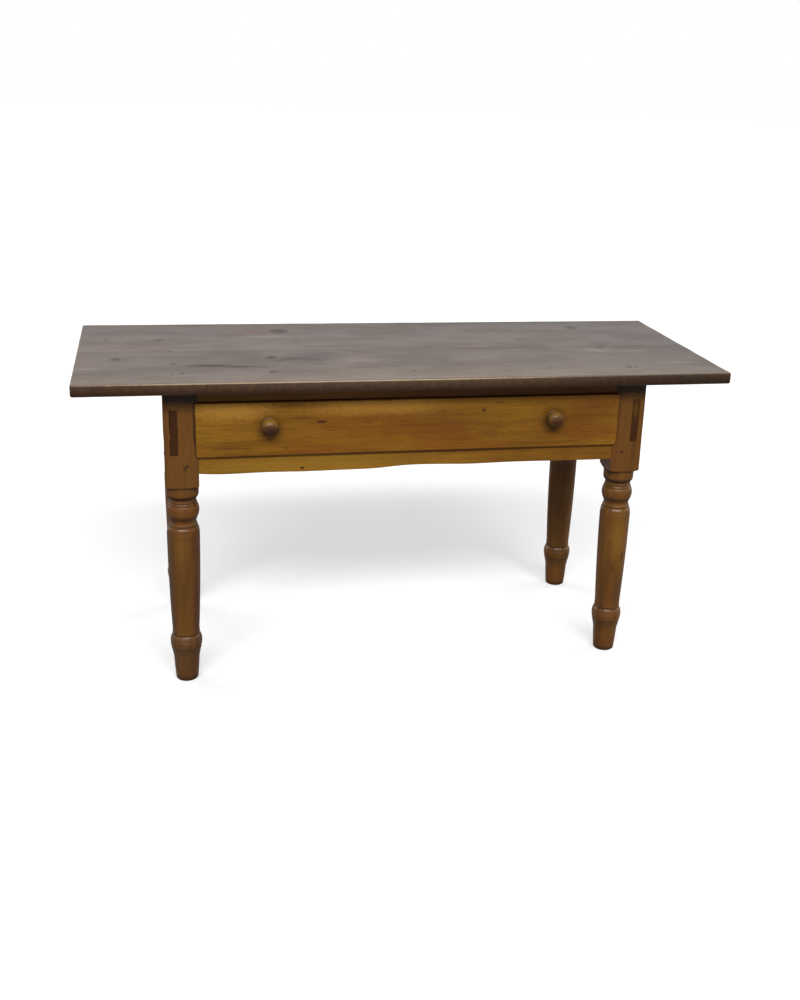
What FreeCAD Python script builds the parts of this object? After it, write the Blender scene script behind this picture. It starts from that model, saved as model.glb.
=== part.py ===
import FreeCAD, Part
import math
import os

# Tavern table: a two-board top on a mortised and pegged frame of four turned legs,
# with one dovetailed drawer whose front laps over the posts.
#
# Millimetres.  The origin is on the floor under the middle of the top, +X to the right,
# +Y to the back and +Z up.  The drawer opens towards -Y.

V = FreeCAD.Vector
UP = V(0, 0, 1)
SIDES = {"left": -1, "right": 1}
ENDS = {"front": -1, "back": 1}
SLACK = 0.01                   # allowed when an edge is matched to a place

# ------------------------------------------------------------------ driving sizes
# Top
TABLE_HEIGHT = 760.0
TOP_LENGTH = 1530.0
TOP_DEPTH = 606.0
TOP_THICKNESS = 27.0
TOP_CORNER_RADIUS = 10.0
TOP_UPPER_ARRIS = 3.0
TOP_LOWER_ARRIS = 8.0
TOP_END_OVERHANG = 192.0       # past the outer faces of the posts
TOP_SIDE_OVERHANG = 57.0
TONGUE_LENGTH = 8.0
TONGUE_THICKNESS = 9.0

# Posts
POST_SIZE = 76.0
POST_ARRIS = 1.5
SQUARE_LENGTH = 238.0          # square part of a leg, measured at the middle of a face
SHOULDER_RISE = 6.5            # how much higher the turning leaves the corners of the square

# Turned part of a leg: lengths along the leg from the floor up, then radii
FOOT_LENGTH = 62.0
QUIRK_LENGTH = 3.0
RING_LENGTH = 39.0
LOWER_BEAD_LENGTH = 6.0
COVE_LENGTH = 27.0
SHAFT_SHOULDER_LENGTH = 6.0
NECK_LENGTH = 28.0
BALL_LENGTH = 37.0
UPPER_BEAD_LENGTH = 6.0
BALL_TOP_LENGTH = 5.0
FILLET_LENGTH = 5.0
COLLAR_CURVE_LENGTH = 18.0
COLLAR_LENGTH = 14.0
FOOT_SWELL = 0.4               # how far the arcs stand outside their chords
RING_SWELL = 2.0
SHAFT_SWELL = 1.3
BALL_SWELL = 2.0

FOOT_RADIUS = 27.5
ANKLE_RADIUS = 31.2
RING_FOOT_RADIUS = 32.4
RING_RADIUS = 37.4
LOWER_BEAD_RADIUS = 35.0
SHAFT_FOOT_RADIUS = 31.8
SHAFT_RADIUS = 37.8
SHAFT_SHOULDER_RADIUS = 35.4
NECK_RADIUS = 30.8
BALL_RADIUS = 36.9
UPPER_BEAD_RADIUS = 34.6
FILLET_RADIUS = 31.6
COLLAR_KNEE_RADIUS = 36.0
COLLAR_KNEE_SHARE = 0.45       # how far up the collar's curve its knee comes
COLLAR_RADIUS = 37.4

# Aprons and rails
APRON_HEIGHT = 201.0
APRON_THICKNESS = 25.0
APRON_SETBACK = 6.0            # apron faces behind the post faces
APRON_ARRIS = 1.5
APRON_TENON_THICKNESS = 16.0
APRON_TENON_HEIGHT = 106.5
APRON_TENON_SHOULDER = 49.0    # from the apron's top edge down to the tenon
THROUGH_TENON_SHORT = 0.4      # tenon ends behind the post faces
RAIL_DEPTH = 45.0
RAIL_SETBACK = 1.5
RAIL_TENON_THICKNESS = 14.0
RAIL_TENON_SHOULDER = 4.0
TENON_WEB = 5.0                # left in a post between a blind tenon and the end apron's tenon
MORTISE_END_GAP = 1.5          # blind mortises are this much deeper than their tenons
LOWER_RAIL_HEIGHT = 38.0
UPPER_RAIL_HEIGHT = 31.5
RAIL_DOVETAIL_LENGTH = 36.0
RAIL_DOVETAIL_THICKNESS = 20.0
RAIL_DOVETAIL_WIDTH = 36.0
RAIL_DOVETAIL_FLARE = 4.0      # each side, from the post's face to the dovetail's end

# Hand-planed lower edge of the lower rail: share of the half length, and share of the wave's height
RAIL_WAVE_HEIGHT = 3.0
RAIL_EDGE = [(-1.0, 0.0), (-0.86, -1.0), (-0.7, -0.5), (-0.55, -0.9), (-0.32, -0.7), (-0.17, -0.3),
             (-0.07, 1.0), (0.16, 1.0), (0.28, 0.5), (0.45, 0.9), (0.7, 0.6), (1.0, 0.4)]

# Drawer carriage
RUNNER_REACH = 31.0            # from the posts' inner faces in under the drawer sides
RUNNER_HEIGHT = 25.0
RUNNER_TENON_LENGTH = 10.0
RUNNER_TENON_THICKNESS = 12.0
RUNNER_TENON_SHOULDER = 3.0
GUIDE_WIDTH = 20.0
GUIDE_HEIGHT = 20.0

# Drawer
DRAWER_SIDE_CLEARANCE = 1.5
DRAWER_TOP_CLEARANCE = 1.5
DRAWER_FRONT_LIFT = 1.5        # drawer front above the lower rail
DRAWER_REAR_CLEARANCE = 25.0   # from the drawer's rear to the back apron
LIP_THICKNESS = 7.0
LIP_GAP = 0.3                  # lip to the posts' front faces
LIP_OVERLAP = 9.0              # past the posts' inner edges
LIP_EDGE_ROUND = 4.0
WORN_CORNER = {"left": (9.0, 46.0), "right": (10.0, 24.0)}   # run along X and rise along Z
DRAWER_FRONT_THICKNESS = 22.0
DRAWER_SIDE_THICKNESS = 14.0
DRAWER_SIDE_DROP = 3.0         # sides below the top of the drawer front
DRAWER_BACK_THICKNESS = 12.0
DRAWER_BACK_DROP = 7.0         # back below the top of the sides
FRONT_DOVETAIL_LENGTH = 12.0
DOVETAIL_SLOPE = 1.0 / 6.0
FRONT_TAILS = 4
BACK_TAILS = 3
PIN_WIDTH = 6.0                # narrow end of a pin
BOTTOM_THICKNESS = 10.0
BOTTOM_EDGE = 5.0              # thickness of the panel in its groove
BOTTOM_BEVEL = 25.0
BOTTOM_RISE = 20.0             # inner floor of the drawer above the lower edge of the sides
BOTTOM_GROOVE = 6.0

# Knobs
KNOB_INSET = 168.0             # from the ends of the drawer front
KNOB_RISE = 74.5               # from its lower edge
KNOB_SPIGOT_RADIUS = 7.0
KNOB_BASE_RADIUS = 15.0
KNOB_BASE_LENGTH = 2.5
KNOB_NECK_RADIUS = 12.0
KNOB_NECK_LENGTH = 8.0
KNOB_FLARE_LENGTH = 10.5
KNOB_RADIUS = 21.5
KNOB_RIM_LENGTH = 4.0
KNOB_FACE_RADIUS = 17.5
KNOB_EDGE_RADIUS = 20.6
KNOB_EDGE_LENGTH = 3.2
KNOB_BROW_LENGTH = 3.2
KNOB_DOME = 2.5
KNOB_HOLLOW = 0.8              # of the arcs below the rim

# Pegs and nails
FIT = 0.05                     # clearance of a peg, nail or spigot in its hole
PEG_RADIUS = 3.75              # to the corners of its eight sides
PEG_SIDES = 8
PEG_LENGTH = 47.0
PEG_RECESS = 0.8
PEG_INSET = 26.0               # rail and back apron pegs from the posts' inner faces
END_PEG_MARGIN = 16.0          # end apron pegs from the tenon's upper and lower edges
BACK_PEG_MARGIN = 32.0         # back apron pegs, staggered between them
NAIL_THICKNESS = 2.8
NAIL_WIDTH = 4.0               # at the head
NAIL_TIP_WIDTH = 1.6
NAIL_HEAD_WIDTH = 6.5
NAIL_HEAD_THICKNESS = 5.0
NAIL_HEAD_LENGTH = 1.5
NAIL_SET = 0.5                 # heads below the face that they enter
TOP_NAIL_LENGTH = 50.0
TOP_NAIL_INSET = 23.0          # nails into the end aprons and the posts, from the posts' outer faces
TOP_END_NAILS = 3              # across each end
TOP_RAIL_NAIL_SPACING = 330.0  # along the front rail and the back apron
TOP_RAIL_NAILS = 3
KICKER_NAIL_LENGTH = 48.0
KICKER_NAILS = 2
KICKER_NAIL_MARGIN = 50.0
GUIDE_NAIL_LENGTH = 38.0
GUIDE_NAILS = 3
GUIDE_NAIL_MARGIN = 40.0
BOTTOM_NAIL_LENGTH = 28.0
BOTTOM_NAILS = 6
BOTTOM_NAIL_MARGIN = 40.0

# Nodes that pegs and nails go into besides the legs
APRONS = ["back_apron", "end_apron_left", "end_apron_right"]

# ------------------------------------------------------------------ worked-out places
TOP_UNDERSIDE = TABLE_HEIGHT - TOP_THICKNESS
SQUARE_BOTTOM = TOP_UNDERSIDE - SQUARE_LENGTH
OUTER_X = TOP_LENGTH / 2 - TOP_END_OVERHANG
OUTER_Y = TOP_DEPTH / 2 - TOP_SIDE_OVERHANG
POST_X = OUTER_X - POST_SIZE / 2
POST_Y = OUTER_Y - POST_SIZE / 2
INNER_X = OUTER_X - POST_SIZE
INNER_Y = OUTER_Y - POST_SIZE
FRAME_BOTTOM = TOP_UNDERSIDE - APRON_HEIGHT

END_APRON_X = (OUTER_X - APRON_SETBACK - APRON_THICKNESS, OUTER_X - APRON_SETBACK)
BACK_APRON_Y = (OUTER_Y - APRON_SETBACK - APRON_THICKNESS, OUTER_Y - APRON_SETBACK)
APRON_Z = (FRAME_BOTTOM, TOP_UNDERSIDE)
APRON_TENON_TOP = TOP_UNDERSIDE - APRON_TENON_SHOULDER
APRON_TENON_Z = (APRON_TENON_TOP - APRON_TENON_HEIGHT, APRON_TENON_TOP)

RAIL_Y = (-OUTER_Y + RAIL_SETBACK, -OUTER_Y + RAIL_SETBACK + RAIL_DEPTH)
RAIL_MIDDLE_Y = sum(RAIL_Y) / 2
LOWER_RAIL_TOP = FRAME_BOTTOM + LOWER_RAIL_HEIGHT
UPPER_RAIL_BOTTOM = TOP_UNDERSIDE - UPPER_RAIL_HEIGHT
BLIND_TENON_X = END_APRON_X[0] - TENON_WEB
RAIL_PEG_Z = (FRAME_BOTTOM + LOWER_RAIL_TOP) / 2
END_PEG_Z = (APRON_TENON_Z[0] + END_PEG_MARGIN, APRON_TENON_Z[1] - END_PEG_MARGIN)
BACK_PEG_Z = (APRON_TENON_Z[0] + BACK_PEG_MARGIN, APRON_TENON_Z[1] - BACK_PEG_MARGIN)

CARRIAGE_Y = (RAIL_Y[1], BACK_APRON_Y[0])
RUNNER_X = INNER_X - RUNNER_REACH
GUIDE_TOP = LOWER_RAIL_TOP + GUIDE_HEIGHT

DRAWER_HALF = INNER_X - DRAWER_SIDE_CLEARANCE
DRAWER_SIDE_INNER = DRAWER_HALF - DRAWER_SIDE_THICKNESS
LIP_BACK = -OUTER_Y - LIP_GAP
DRAWER_FACE = LIP_BACK - LIP_THICKNESS
DRAWER_FRONT_BACK = DRAWER_FACE + DRAWER_FRONT_THICKNESS
DRAWER_REAR = BACK_APRON_Y[0] - DRAWER_REAR_CLEARANCE
DRAWER_FRONT_Z = (LOWER_RAIL_TOP + DRAWER_FRONT_LIFT, UPPER_RAIL_BOTTOM - DRAWER_TOP_CLEARANCE)
DRAWER_SIDE_Z = (LOWER_RAIL_TOP, DRAWER_FRONT_Z[1] - DRAWER_SIDE_DROP)
DRAWER_FLOOR = DRAWER_SIDE_Z[0] + BOTTOM_RISE
DRAWER_BACK_Z = (DRAWER_FLOOR, DRAWER_SIDE_Z[1] - DRAWER_BACK_DROP)
KNOB_X = INNER_X + LIP_OVERLAP - KNOB_INSET
KNOB_Z = DRAWER_FRONT_Z[0] + KNOB_RISE


# ------------------------------------------------------------------ helpers
def block(x, y, z):
    """Box between pairs of X, Y and Z, each pair in either order."""
    pairs = (x, y, z)
    corner = V(*[min(pair) for pair in pairs])
    sizes = [abs(pair[1] - pair[0]) for pair in pairs]
    return Part.makeBox(*sizes, corner)


def prism(points, travel):
    """Solid swept from the flat polygon through points along the vector travel."""
    outline = Part.makePolygon(points + points[:1])
    return Part.Face(outline).extrude(travel)


def edges_within(shape, low, high):
    """Edges of shape whose boxes lie between two corners."""
    found = []
    for edge in shape.Edges:
        box = edge.BoundBox
        above = box.XMin > low.x - SLACK and box.YMin > low.y - SLACK and box.ZMin > low.z - SLACK
        below = box.XMax < high.x + SLACK and box.YMax < high.y + SLACK and box.ZMax < high.z + SLACK
        if above and below:
            found.append(edge)
    return found


def upright_edges(shape):
    """Straight edges of shape that run along Z."""
    return [edge for edge in shape.Edges if edge.BoundBox.XLength + edge.BoundBox.YLength < SLACK]


def spread(count, half_span):
    """Places of count things spaced evenly from -half_span to half_span, one alone in the middle."""
    if count == 1:
        return [0.0]
    return [half_span * (2 * i / (count - 1) - 1) for i in range(count)]


class Turning:
    """Lathe profile of radius against height, drawn upwards from the axis."""

    def __init__(self, radius=0.0, height=0.0):
        self.radius = radius
        self.height = height
        self.start = V(0, 0, height)
        self.edges = []
        if radius:
            self.edges.append(Part.makeLine(self.start, V(radius, 0, height)))

    def point(self):
        return V(self.radius, 0, self.height)

    def move(self, radius, rise):
        self.radius = radius
        self.height = self.height + rise
        return self.point()

    def line(self, radius, rise):
        """Straight to a radius, rise higher up."""
        begin = self.point()
        self.edges.append(Part.makeLine(begin, self.move(radius, rise)))

    def arc(self, radius, rise, swell):
        """Arc to a radius, its middle standing swell outside the straight line."""
        begin = self.point()
        end = self.move(radius, rise)
        chord = end - begin
        outward = V(chord.z, 0, -chord.x).normalize()
        middle = (begin + end) * 0.5 + outward * swell
        self.edges.append(Part.Arc(begin, middle, end).toShape())

    def dome(self, rise):
        """Arc to the axis that is square to it there, rise higher up."""
        begin = self.point()
        curve_radius = (self.radius ** 2 + rise ** 2) / (2 * rise)
        half_angle = math.asin(self.radius / curve_radius) / 2
        end = self.move(0.0, rise)
        middle = end + V(curve_radius * math.sin(half_angle), 0, curve_radius * (math.cos(half_angle) - 1))
        self.edges.append(Part.Arc(begin, middle, end).toShape())

    def solid(self):
        """Close the profile on the axis and turn it."""
        end = V(0, 0, self.height)
        if self.radius:
            self.edges.append(Part.makeLine(self.point(), end))
        self.edges.append(Part.makeLine(end, self.start))
        face = Part.Face(Part.Wire(self.edges))
        return face.revolve(V(0, 0, 0), UP, 360)


def aim(shape, place, direction):
    """Turn a shape made along +Z to a direction and carry its origin to a place."""
    placed = shape.copy()
    placed.Placement = FreeCAD.Placement(place, FreeCAD.Rotation(UP, direction))
    return placed


# ------------------------------------------------------------------ fasteners
def peg(clearance=0.0):
    """Riven and shaved peg of eight sides, driven along +Z."""
    radius = PEG_RADIUS + clearance
    turns = [2 * math.pi * i / PEG_SIDES for i in range(PEG_SIDES)]
    corners = [V(radius * math.cos(turn), radius * math.sin(turn), 0) for turn in turns]
    return prism(corners, V(0, 0, PEG_LENGTH + clearance))


def peg_hole():
    """Hole of a peg, from above the face it enters."""
    hole = peg(FIT)
    mouth = hole.translated(V(0, 0, -2 * PEG_RECESS))
    return mouth.fuse(hole).removeSplitter()


def nail(length, clearance=0.0):
    """Cut nail driven along +Z: a wedge of even thickness under a flat head whose face is at the origin."""
    wide = NAIL_WIDTH / 2 + clearance
    tip = NAIL_TIP_WIDTH / 2 + clearance
    half = NAIL_THICKNESS / 2 + clearance
    outline = [V(-wide, -half, 0), V(wide, -half, 0), V(tip, -half, length), V(-tip, -half, length)]
    return nail_head(0, NAIL_HEAD_LENGTH + clearance, clearance).fuse(prism(outline, V(0, 2 * half, 0)))


def nail_head(low, high, clearance=0.0):
    """Block with the outline of a nail's head between two heights."""
    x = NAIL_HEAD_WIDTH / 2 + clearance
    y = NAIL_HEAD_THICKNESS / 2 + clearance
    return block((-x, x), (-y, y), (low, high))


def nail_hole(length):
    """Hole of a nail, from above the face it enters."""
    return nail_head(-2 * NAIL_SET, 0, FIT).fuse(nail(length, FIT)).removeSplitter()


# ------------------------------------------------------------------ top
def top_slab():
    """Whole top with its rounded corners and arrises."""
    half_x = TOP_LENGTH / 2
    half_y = TOP_DEPTH / 2
    slab = block((-half_x, half_x), (-half_y, half_y), (TOP_UNDERSIDE, TABLE_HEIGHT))
    slab = slab.makeFillet(TOP_CORNER_RADIUS, upright_edges(slab))
    upper = edges_within(slab, V(-half_x, -half_y, TABLE_HEIGHT), V(half_x, half_y, TABLE_HEIGHT))
    slab = slab.makeChamfer(TOP_UPPER_ARRIS, upper)
    lower = edges_within(slab, V(-half_x, -half_y, TOP_UNDERSIDE), V(half_x, half_y, TOP_UNDERSIDE))
    return slab.makeFillet(TOP_LOWER_ARRIS, lower)


def top_boards():
    """Front and back board, tongued and grooved along the middle."""
    slab = top_slab()
    across = (-TOP_LENGTH, TOP_LENGTH)
    middle = TABLE_HEIGHT - TOP_THICKNESS / 2
    tongue_z = (middle - TONGUE_THICKNESS / 2, middle + TONGUE_THICKNESS / 2)
    front_half = block(across, (-TOP_DEPTH, 0), (0, 2 * TABLE_HEIGHT))
    tongue = block(across, (-TONGUE_LENGTH, TONGUE_LENGTH), tongue_z)
    front_zone = front_half.fuse(tongue)
    return {"top_board_front": slab.common(front_zone).removeSplitter(),
            "top_board_back": slab.cut(front_zone)}


# ------------------------------------------------------------------ legs
def turned_blank():
    """Leg as it leaves the lathe, with the square part still round."""
    base = FOOT_LENGTH + QUIRK_LENGTH + RING_LENGTH + LOWER_BEAD_LENGTH + COVE_LENGTH
    neck = SHAFT_SHOULDER_LENGTH + NECK_LENGTH
    head = BALL_LENGTH + UPPER_BEAD_LENGTH + BALL_TOP_LENGTH + FILLET_LENGTH
    collar = COLLAR_CURVE_LENGTH + COLLAR_LENGTH
    shaft = SQUARE_BOTTOM - base - neck - head - collar
    corner_radius = POST_SIZE / math.sqrt(2)

    leg = Turning(FOOT_RADIUS)
    leg.arc(ANKLE_RADIUS, FOOT_LENGTH, FOOT_SWELL)
    leg.line(RING_FOOT_RADIUS, QUIRK_LENGTH)
    leg.arc(RING_RADIUS, RING_LENGTH, RING_SWELL)
    leg.line(LOWER_BEAD_RADIUS, LOWER_BEAD_LENGTH)
    leg.line(SHAFT_FOOT_RADIUS, COVE_LENGTH)
    leg.arc(SHAFT_RADIUS, shaft, SHAFT_SWELL)
    leg.line(SHAFT_SHOULDER_RADIUS, SHAFT_SHOULDER_LENGTH)
    leg.line(NECK_RADIUS, NECK_LENGTH)
    leg.arc(BALL_RADIUS, BALL_LENGTH, BALL_SWELL)
    leg.line(UPPER_BEAD_RADIUS, UPPER_BEAD_LENGTH)
    leg.line(FILLET_RADIUS, BALL_TOP_LENGTH)
    leg.line(FILLET_RADIUS, FILLET_LENGTH)
    leg.line(COLLAR_KNEE_RADIUS, COLLAR_KNEE_SHARE * COLLAR_CURVE_LENGTH)
    leg.line(COLLAR_RADIUS, (1 - COLLAR_KNEE_SHARE) * COLLAR_CURVE_LENGTH)
    leg.line(COLLAR_RADIUS, COLLAR_LENGTH)
    leg.line(corner_radius, SHOULDER_RISE)
    leg.line(corner_radius, SQUARE_LENGTH - SHOULDER_RISE)
    return leg.solid()


def leg_blank():
    """Turned leg cut down to its square post, standing on the origin, with no joints yet."""
    half = POST_SIZE / 2
    square = block((-half, half), (-half, half), (0, TOP_UNDERSIDE))
    square = square.makeChamfer(POST_ARRIS, upright_edges(square))
    return turned_blank().common(square)


def legs():
    """Four legs with the mortises and dovetail sockets of what they carry."""
    blank = leg_blank()
    made = {}
    for end_name, end in ENDS.items():
        for side_name, side in SIDES.items():
            leg = blank.copy()
            leg.translate(V(side * POST_X, end * POST_Y, 0))
            leg = leg.cut(end_apron_tenon(side, POST_SIZE))
            joints = front_joints(side) if end < 0 else back_joints(side)
            for joint in joints:
                leg = leg.cut(joint)
            made[f"leg_{end_name}_{side_name}"] = leg
    return made


def front_joints(side):
    """What is cut into a front post: the lower rail's mortise and the upper rail's socket."""
    return [lower_rail_tenon(side, MORTISE_END_GAP), upper_rail_dovetail(side)]


def back_joints(side):
    """What is cut into a back post: the back apron's mortise."""
    return [back_apron_tenon(side, MORTISE_END_GAP)]


# ------------------------------------------------------------------ aprons and rails
def end_apron_tenon(side, beyond=0.0):
    """Tenons at both ends of an end apron as one bar, right through both posts."""
    inner = END_APRON_X[0]
    reach = OUTER_Y - THROUGH_TENON_SHORT + beyond
    return block((side * inner, side * (inner + APRON_TENON_THICKNESS)), (-reach, reach), APRON_TENON_Z)


def end_apron(side):
    """Apron between a front and a back post, flush with the inner cheek of its tenons."""
    board = block([side * x for x in END_APRON_X], (-INNER_Y, INNER_Y), APRON_Z)
    board = board.makeFillet(APRON_ARRIS, lower_arrises(board, V(0, 1, 0)))
    return board.fuse(end_apron_tenon(side)).removeSplitter()


def lower_arrises(board, along):
    """Edges of a board's underside that run along a direction."""
    box = board.BoundBox
    low = edges_within(board, V(box.XMin, box.YMin, box.ZMin), V(box.XMax, box.YMax, box.ZMin))
    return [edge for edge in low if abs(edge.tangentAt(edge.FirstParameter).dot(along)) > 0.5]


def back_apron_tenon(side, beyond=0.0):
    """Blind tenon of the back apron, in the middle of its thickness."""
    middle = sum(BACK_APRON_Y) / 2
    half = APRON_TENON_THICKNESS / 2
    x = (side * INNER_X, side * (BLIND_TENON_X + beyond))
    return block(x, (middle - half, middle + half), APRON_TENON_Z)


def back_apron():
    """Apron between the back posts, with mortises for the runners."""
    board = block((-INNER_X, INNER_X), BACK_APRON_Y, APRON_Z)
    board = board.makeFillet(APRON_ARRIS, lower_arrises(board, V(1, 0, 0)))
    for side in SIDES.values():
        board = board.fuse(back_apron_tenon(side))
        board = board.cut(runner_tenons(side))
    return board.removeSplitter()


def lower_rail_tenon(side, beyond=0.0):
    """Blind tenon of the rail under the drawer."""
    half = RAIL_TENON_THICKNESS / 2
    x = (side * INNER_X, side * (BLIND_TENON_X + beyond))
    z = (FRAME_BOTTOM + RAIL_TENON_SHOULDER, LOWER_RAIL_TOP - RAIL_TENON_SHOULDER)
    return block(x, (RAIL_MIDDLE_Y - half, RAIL_MIDDLE_Y + half), z)


def lower_rail():
    """Rail under the drawer, its lower edge planed by hand to a gentle wave."""
    left = V(-INNER_X, RAIL_Y[0], LOWER_RAIL_TOP)
    right = V(INNER_X, RAIL_Y[0], LOWER_RAIL_TOP)
    points = [V(share * INNER_X, RAIL_Y[0], FRAME_BOTTOM + rise * RAIL_WAVE_HEIGHT)
              for share, rise in RAIL_EDGE]
    wave = Part.BSplineCurve()
    wave.interpolate(points)
    edges = [wave.toShape(),
             Part.makeLine(wave.EndPoint, right),
             Part.makeLine(right, left),
             Part.makeLine(left, wave.StartPoint)]
    rail = Part.Face(Part.Wire(edges)).extrude(V(0, RAIL_DEPTH, 0))
    for side in SIDES.values():
        rail = rail.fuse(lower_rail_tenon(side))
        rail = rail.cut(runner_tenons(side))
    return rail.removeSplitter()


def upper_rail_dovetail(side):
    """Dovetail that drops into the top of a post and ties the two posts together."""
    wide = RAIL_DOVETAIL_WIDTH / 2
    narrow = wide - RAIL_DOVETAIL_FLARE
    near = side * INNER_X
    far = side * (INNER_X + RAIL_DOVETAIL_LENGTH)
    z = TOP_UNDERSIDE - RAIL_DOVETAIL_THICKNESS
    outline = [V(near, RAIL_MIDDLE_Y - narrow, z), V(far, RAIL_MIDDLE_Y - wide, z),
               V(far, RAIL_MIDDLE_Y + wide, z), V(near, RAIL_MIDDLE_Y + narrow, z)]
    return prism(outline, V(0, 0, RAIL_DOVETAIL_THICKNESS))


def upper_rail():
    """Rail over the drawer, dovetailed into the tops of the front posts."""
    rail = block((-INNER_X, INNER_X), RAIL_Y, (UPPER_RAIL_BOTTOM, TOP_UNDERSIDE))
    for side in SIDES.values():
        rail = rail.fuse(upper_rail_dovetail(side))
    return rail.removeSplitter()


# ------------------------------------------------------------------ drawer carriage
def runner_tenons(side):
    """Stub tenons at both ends of a runner, as one bar."""
    x = (side * (RUNNER_X + RUNNER_TENON_SHOULDER), side * (INNER_X - RUNNER_TENON_SHOULDER))
    y = (CARRIAGE_Y[0] - RUNNER_TENON_LENGTH, CARRIAGE_Y[1] + RUNNER_TENON_LENGTH)
    middle = LOWER_RAIL_TOP - RUNNER_HEIGHT / 2
    half = RUNNER_TENON_THICKNESS / 2
    return block(x, y, (middle - half, middle + half))


def runner(side):
    """Bearer under a drawer side, notched round the posts and wider between them for the guide."""
    z = (LOWER_RAIL_TOP - RUNNER_HEIGHT, LOWER_RAIL_TOP)
    bar = block((side * RUNNER_X, side * INNER_X), CARRIAGE_Y, z)
    ledge = block((side * INNER_X, side * (INNER_X + GUIDE_WIDTH)), (-INNER_Y, INNER_Y), z)
    return bar.fuse(ledge).fuse(runner_tenons(side)).removeSplitter()


def guide(side):
    """Strip on the runner's ledge, level with the posts' inner faces, that keeps the drawer straight."""
    x = (side * INNER_X, side * (INNER_X + GUIDE_WIDTH))
    return block(x, (-INNER_Y, INNER_Y), (LOWER_RAIL_TOP, GUIDE_TOP))


def kicker(side):
    """Strip under the top that keeps the open drawer from tipping."""
    return block((side * RUNNER_X, side * INNER_X), CARRIAGE_Y, (UPPER_RAIL_BOTTOM, TOP_UNDERSIDE))


# ------------------------------------------------------------------ drawer
def pins(x, root_y, tip_y, z, count):
    """Wood between the tails of a drawer side: count tails over the heights z, tips at tip_y."""
    pitch = (z[1] - z[0]) / count
    narrow = PIN_WIDTH / 2
    wide = narrow + abs(tip_y - root_y) * DOVETAIL_SLOPE
    travel = V(x[1] - x[0], 0, 0)
    bounds = block(x, (root_y, tip_y), z)
    made = []
    for step in range(count + 1):
        middle = z[0] + step * pitch
        outline = [V(x[0], tip_y, middle - narrow), V(x[0], tip_y, middle + narrow),
                   V(x[0], root_y, middle + wide), V(x[0], root_y, middle - wide)]
        made.append(prism(outline, travel).common(bounds))
    return made


def drawer_side(side):
    """Drawer side with dovetail tails at both ends."""
    x = (side * DRAWER_SIDE_INNER, side * DRAWER_HALF)
    tip = DRAWER_FRONT_BACK - FRONT_DOVETAIL_LENGTH
    board = block(x, (tip, DRAWER_REAR), DRAWER_SIDE_Z)
    waste = pins(x, DRAWER_FRONT_BACK, tip, DRAWER_SIDE_Z, FRONT_TAILS)
    waste += pins(x, DRAWER_REAR - DRAWER_BACK_THICKNESS, DRAWER_REAR, DRAWER_BACK_Z, BACK_TAILS)
    for pin in waste:
        board = board.cut(pin)
    return board


def lip_outline():
    """Face of the drawer front, square above and worn round at both lower corners."""
    edge = INNER_X + LIP_OVERLAP
    low, high = DRAWER_FRONT_Z
    left_run, left_rise = WORN_CORNER["left"]
    right_run, right_rise = WORN_CORNER["right"]
    y = DRAWER_FACE
    left_top = V(-edge, y, high)
    right_top = V(edge, y, high)
    left = worn_corner(V(-edge + left_run, y, low + left_rise), -left_run, left_rise)
    right = worn_corner(V(edge - right_run, y, low + right_rise), right_run, right_rise)
    corners = [V(-edge, y, low + left_rise), V(-edge + left_run, y, low),
               V(edge - right_run, y, low), V(edge, y, low + right_rise)]
    return Part.Wire([Part.makeLine(left_top, corners[0]), left,
                      Part.makeLine(corners[1], corners[2]), right,
                      Part.makeLine(corners[3], right_top),
                      Part.makeLine(right_top, left_top)])


def worn_corner(centre, run, rise):
    """Lower quarter of an ellipse, from beside its centre to below it."""
    side_end = centre + V(run, 0, 0)
    low_end = centre + V(0, 0, -rise)
    middle = centre + V(run * math.sqrt(0.5), 0, -rise * math.sqrt(0.5))
    spline = Part.BSplineCurve()
    spline.interpolate([side_end, middle, low_end], InitialTangent=V(0, 0, -1), FinalTangent=V(-run, 0, 0))
    return spline.toShape()


def drawer_front_blank():
    """Drawer front before its joints are cut: a lip in front of the posts and a body between them."""
    lip = Part.Face(lip_outline()).extrude(V(0, LIP_THICKNESS, 0))
    box = lip.BoundBox
    rim = edges_within(lip, V(box.XMin, DRAWER_FACE, box.ZMin), V(box.XMax, DRAWER_FACE, box.ZMax))
    lip = lip.makeFillet(LIP_EDGE_ROUND, rim)
    body = block((-DRAWER_HALF, DRAWER_HALF), (LIP_BACK, DRAWER_FRONT_BACK), DRAWER_FRONT_Z)
    return lip.fuse(body).removeSplitter()


def bottom_panel():
    """Drawer bottom, bevelled underneath to thin edges that run in the grooves of front and sides."""
    half = DRAWER_SIDE_INNER + BOTTOM_GROOVE
    front = DRAWER_FRONT_BACK - BOTTOM_GROOVE
    top = DRAWER_FLOOR
    edge = top - BOTTOM_EDGE
    base = top - BOTTOM_THICKNESS
    inset = BOTTOM_GROOVE + BOTTOM_BEVEL
    across = [V(-half, front, top), V(-half, front, edge), V(-half + BOTTOM_GROOVE, front, edge),
              V(-half + inset, front, base), V(half - inset, front, base),
              V(half - BOTTOM_GROOVE, front, edge), V(half, front, edge), V(half, front, top)]
    along = [V(-half, front, top), V(-half, front, edge), V(-half, front + BOTTOM_GROOVE, edge),
             V(-half, front + inset, base), V(-half, DRAWER_REAR, base), V(-half, DRAWER_REAR, top)]
    return prism(across, V(0, DRAWER_REAR - front, 0)).common(prism(along, V(2 * half, 0, 0)))


def bottom_boards():
    """The two boards of the drawer bottom."""
    panel = bottom_panel()
    box = panel.BoundBox
    joint = (box.YMin + box.YMax) / 2
    front_zone = block((box.XMin, box.XMax), (box.YMin, joint), (box.ZMin, box.ZMax))
    return {"drawer_bottom_front": panel.common(front_zone),
            "drawer_bottom_back": panel.cut(front_zone)}


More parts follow.
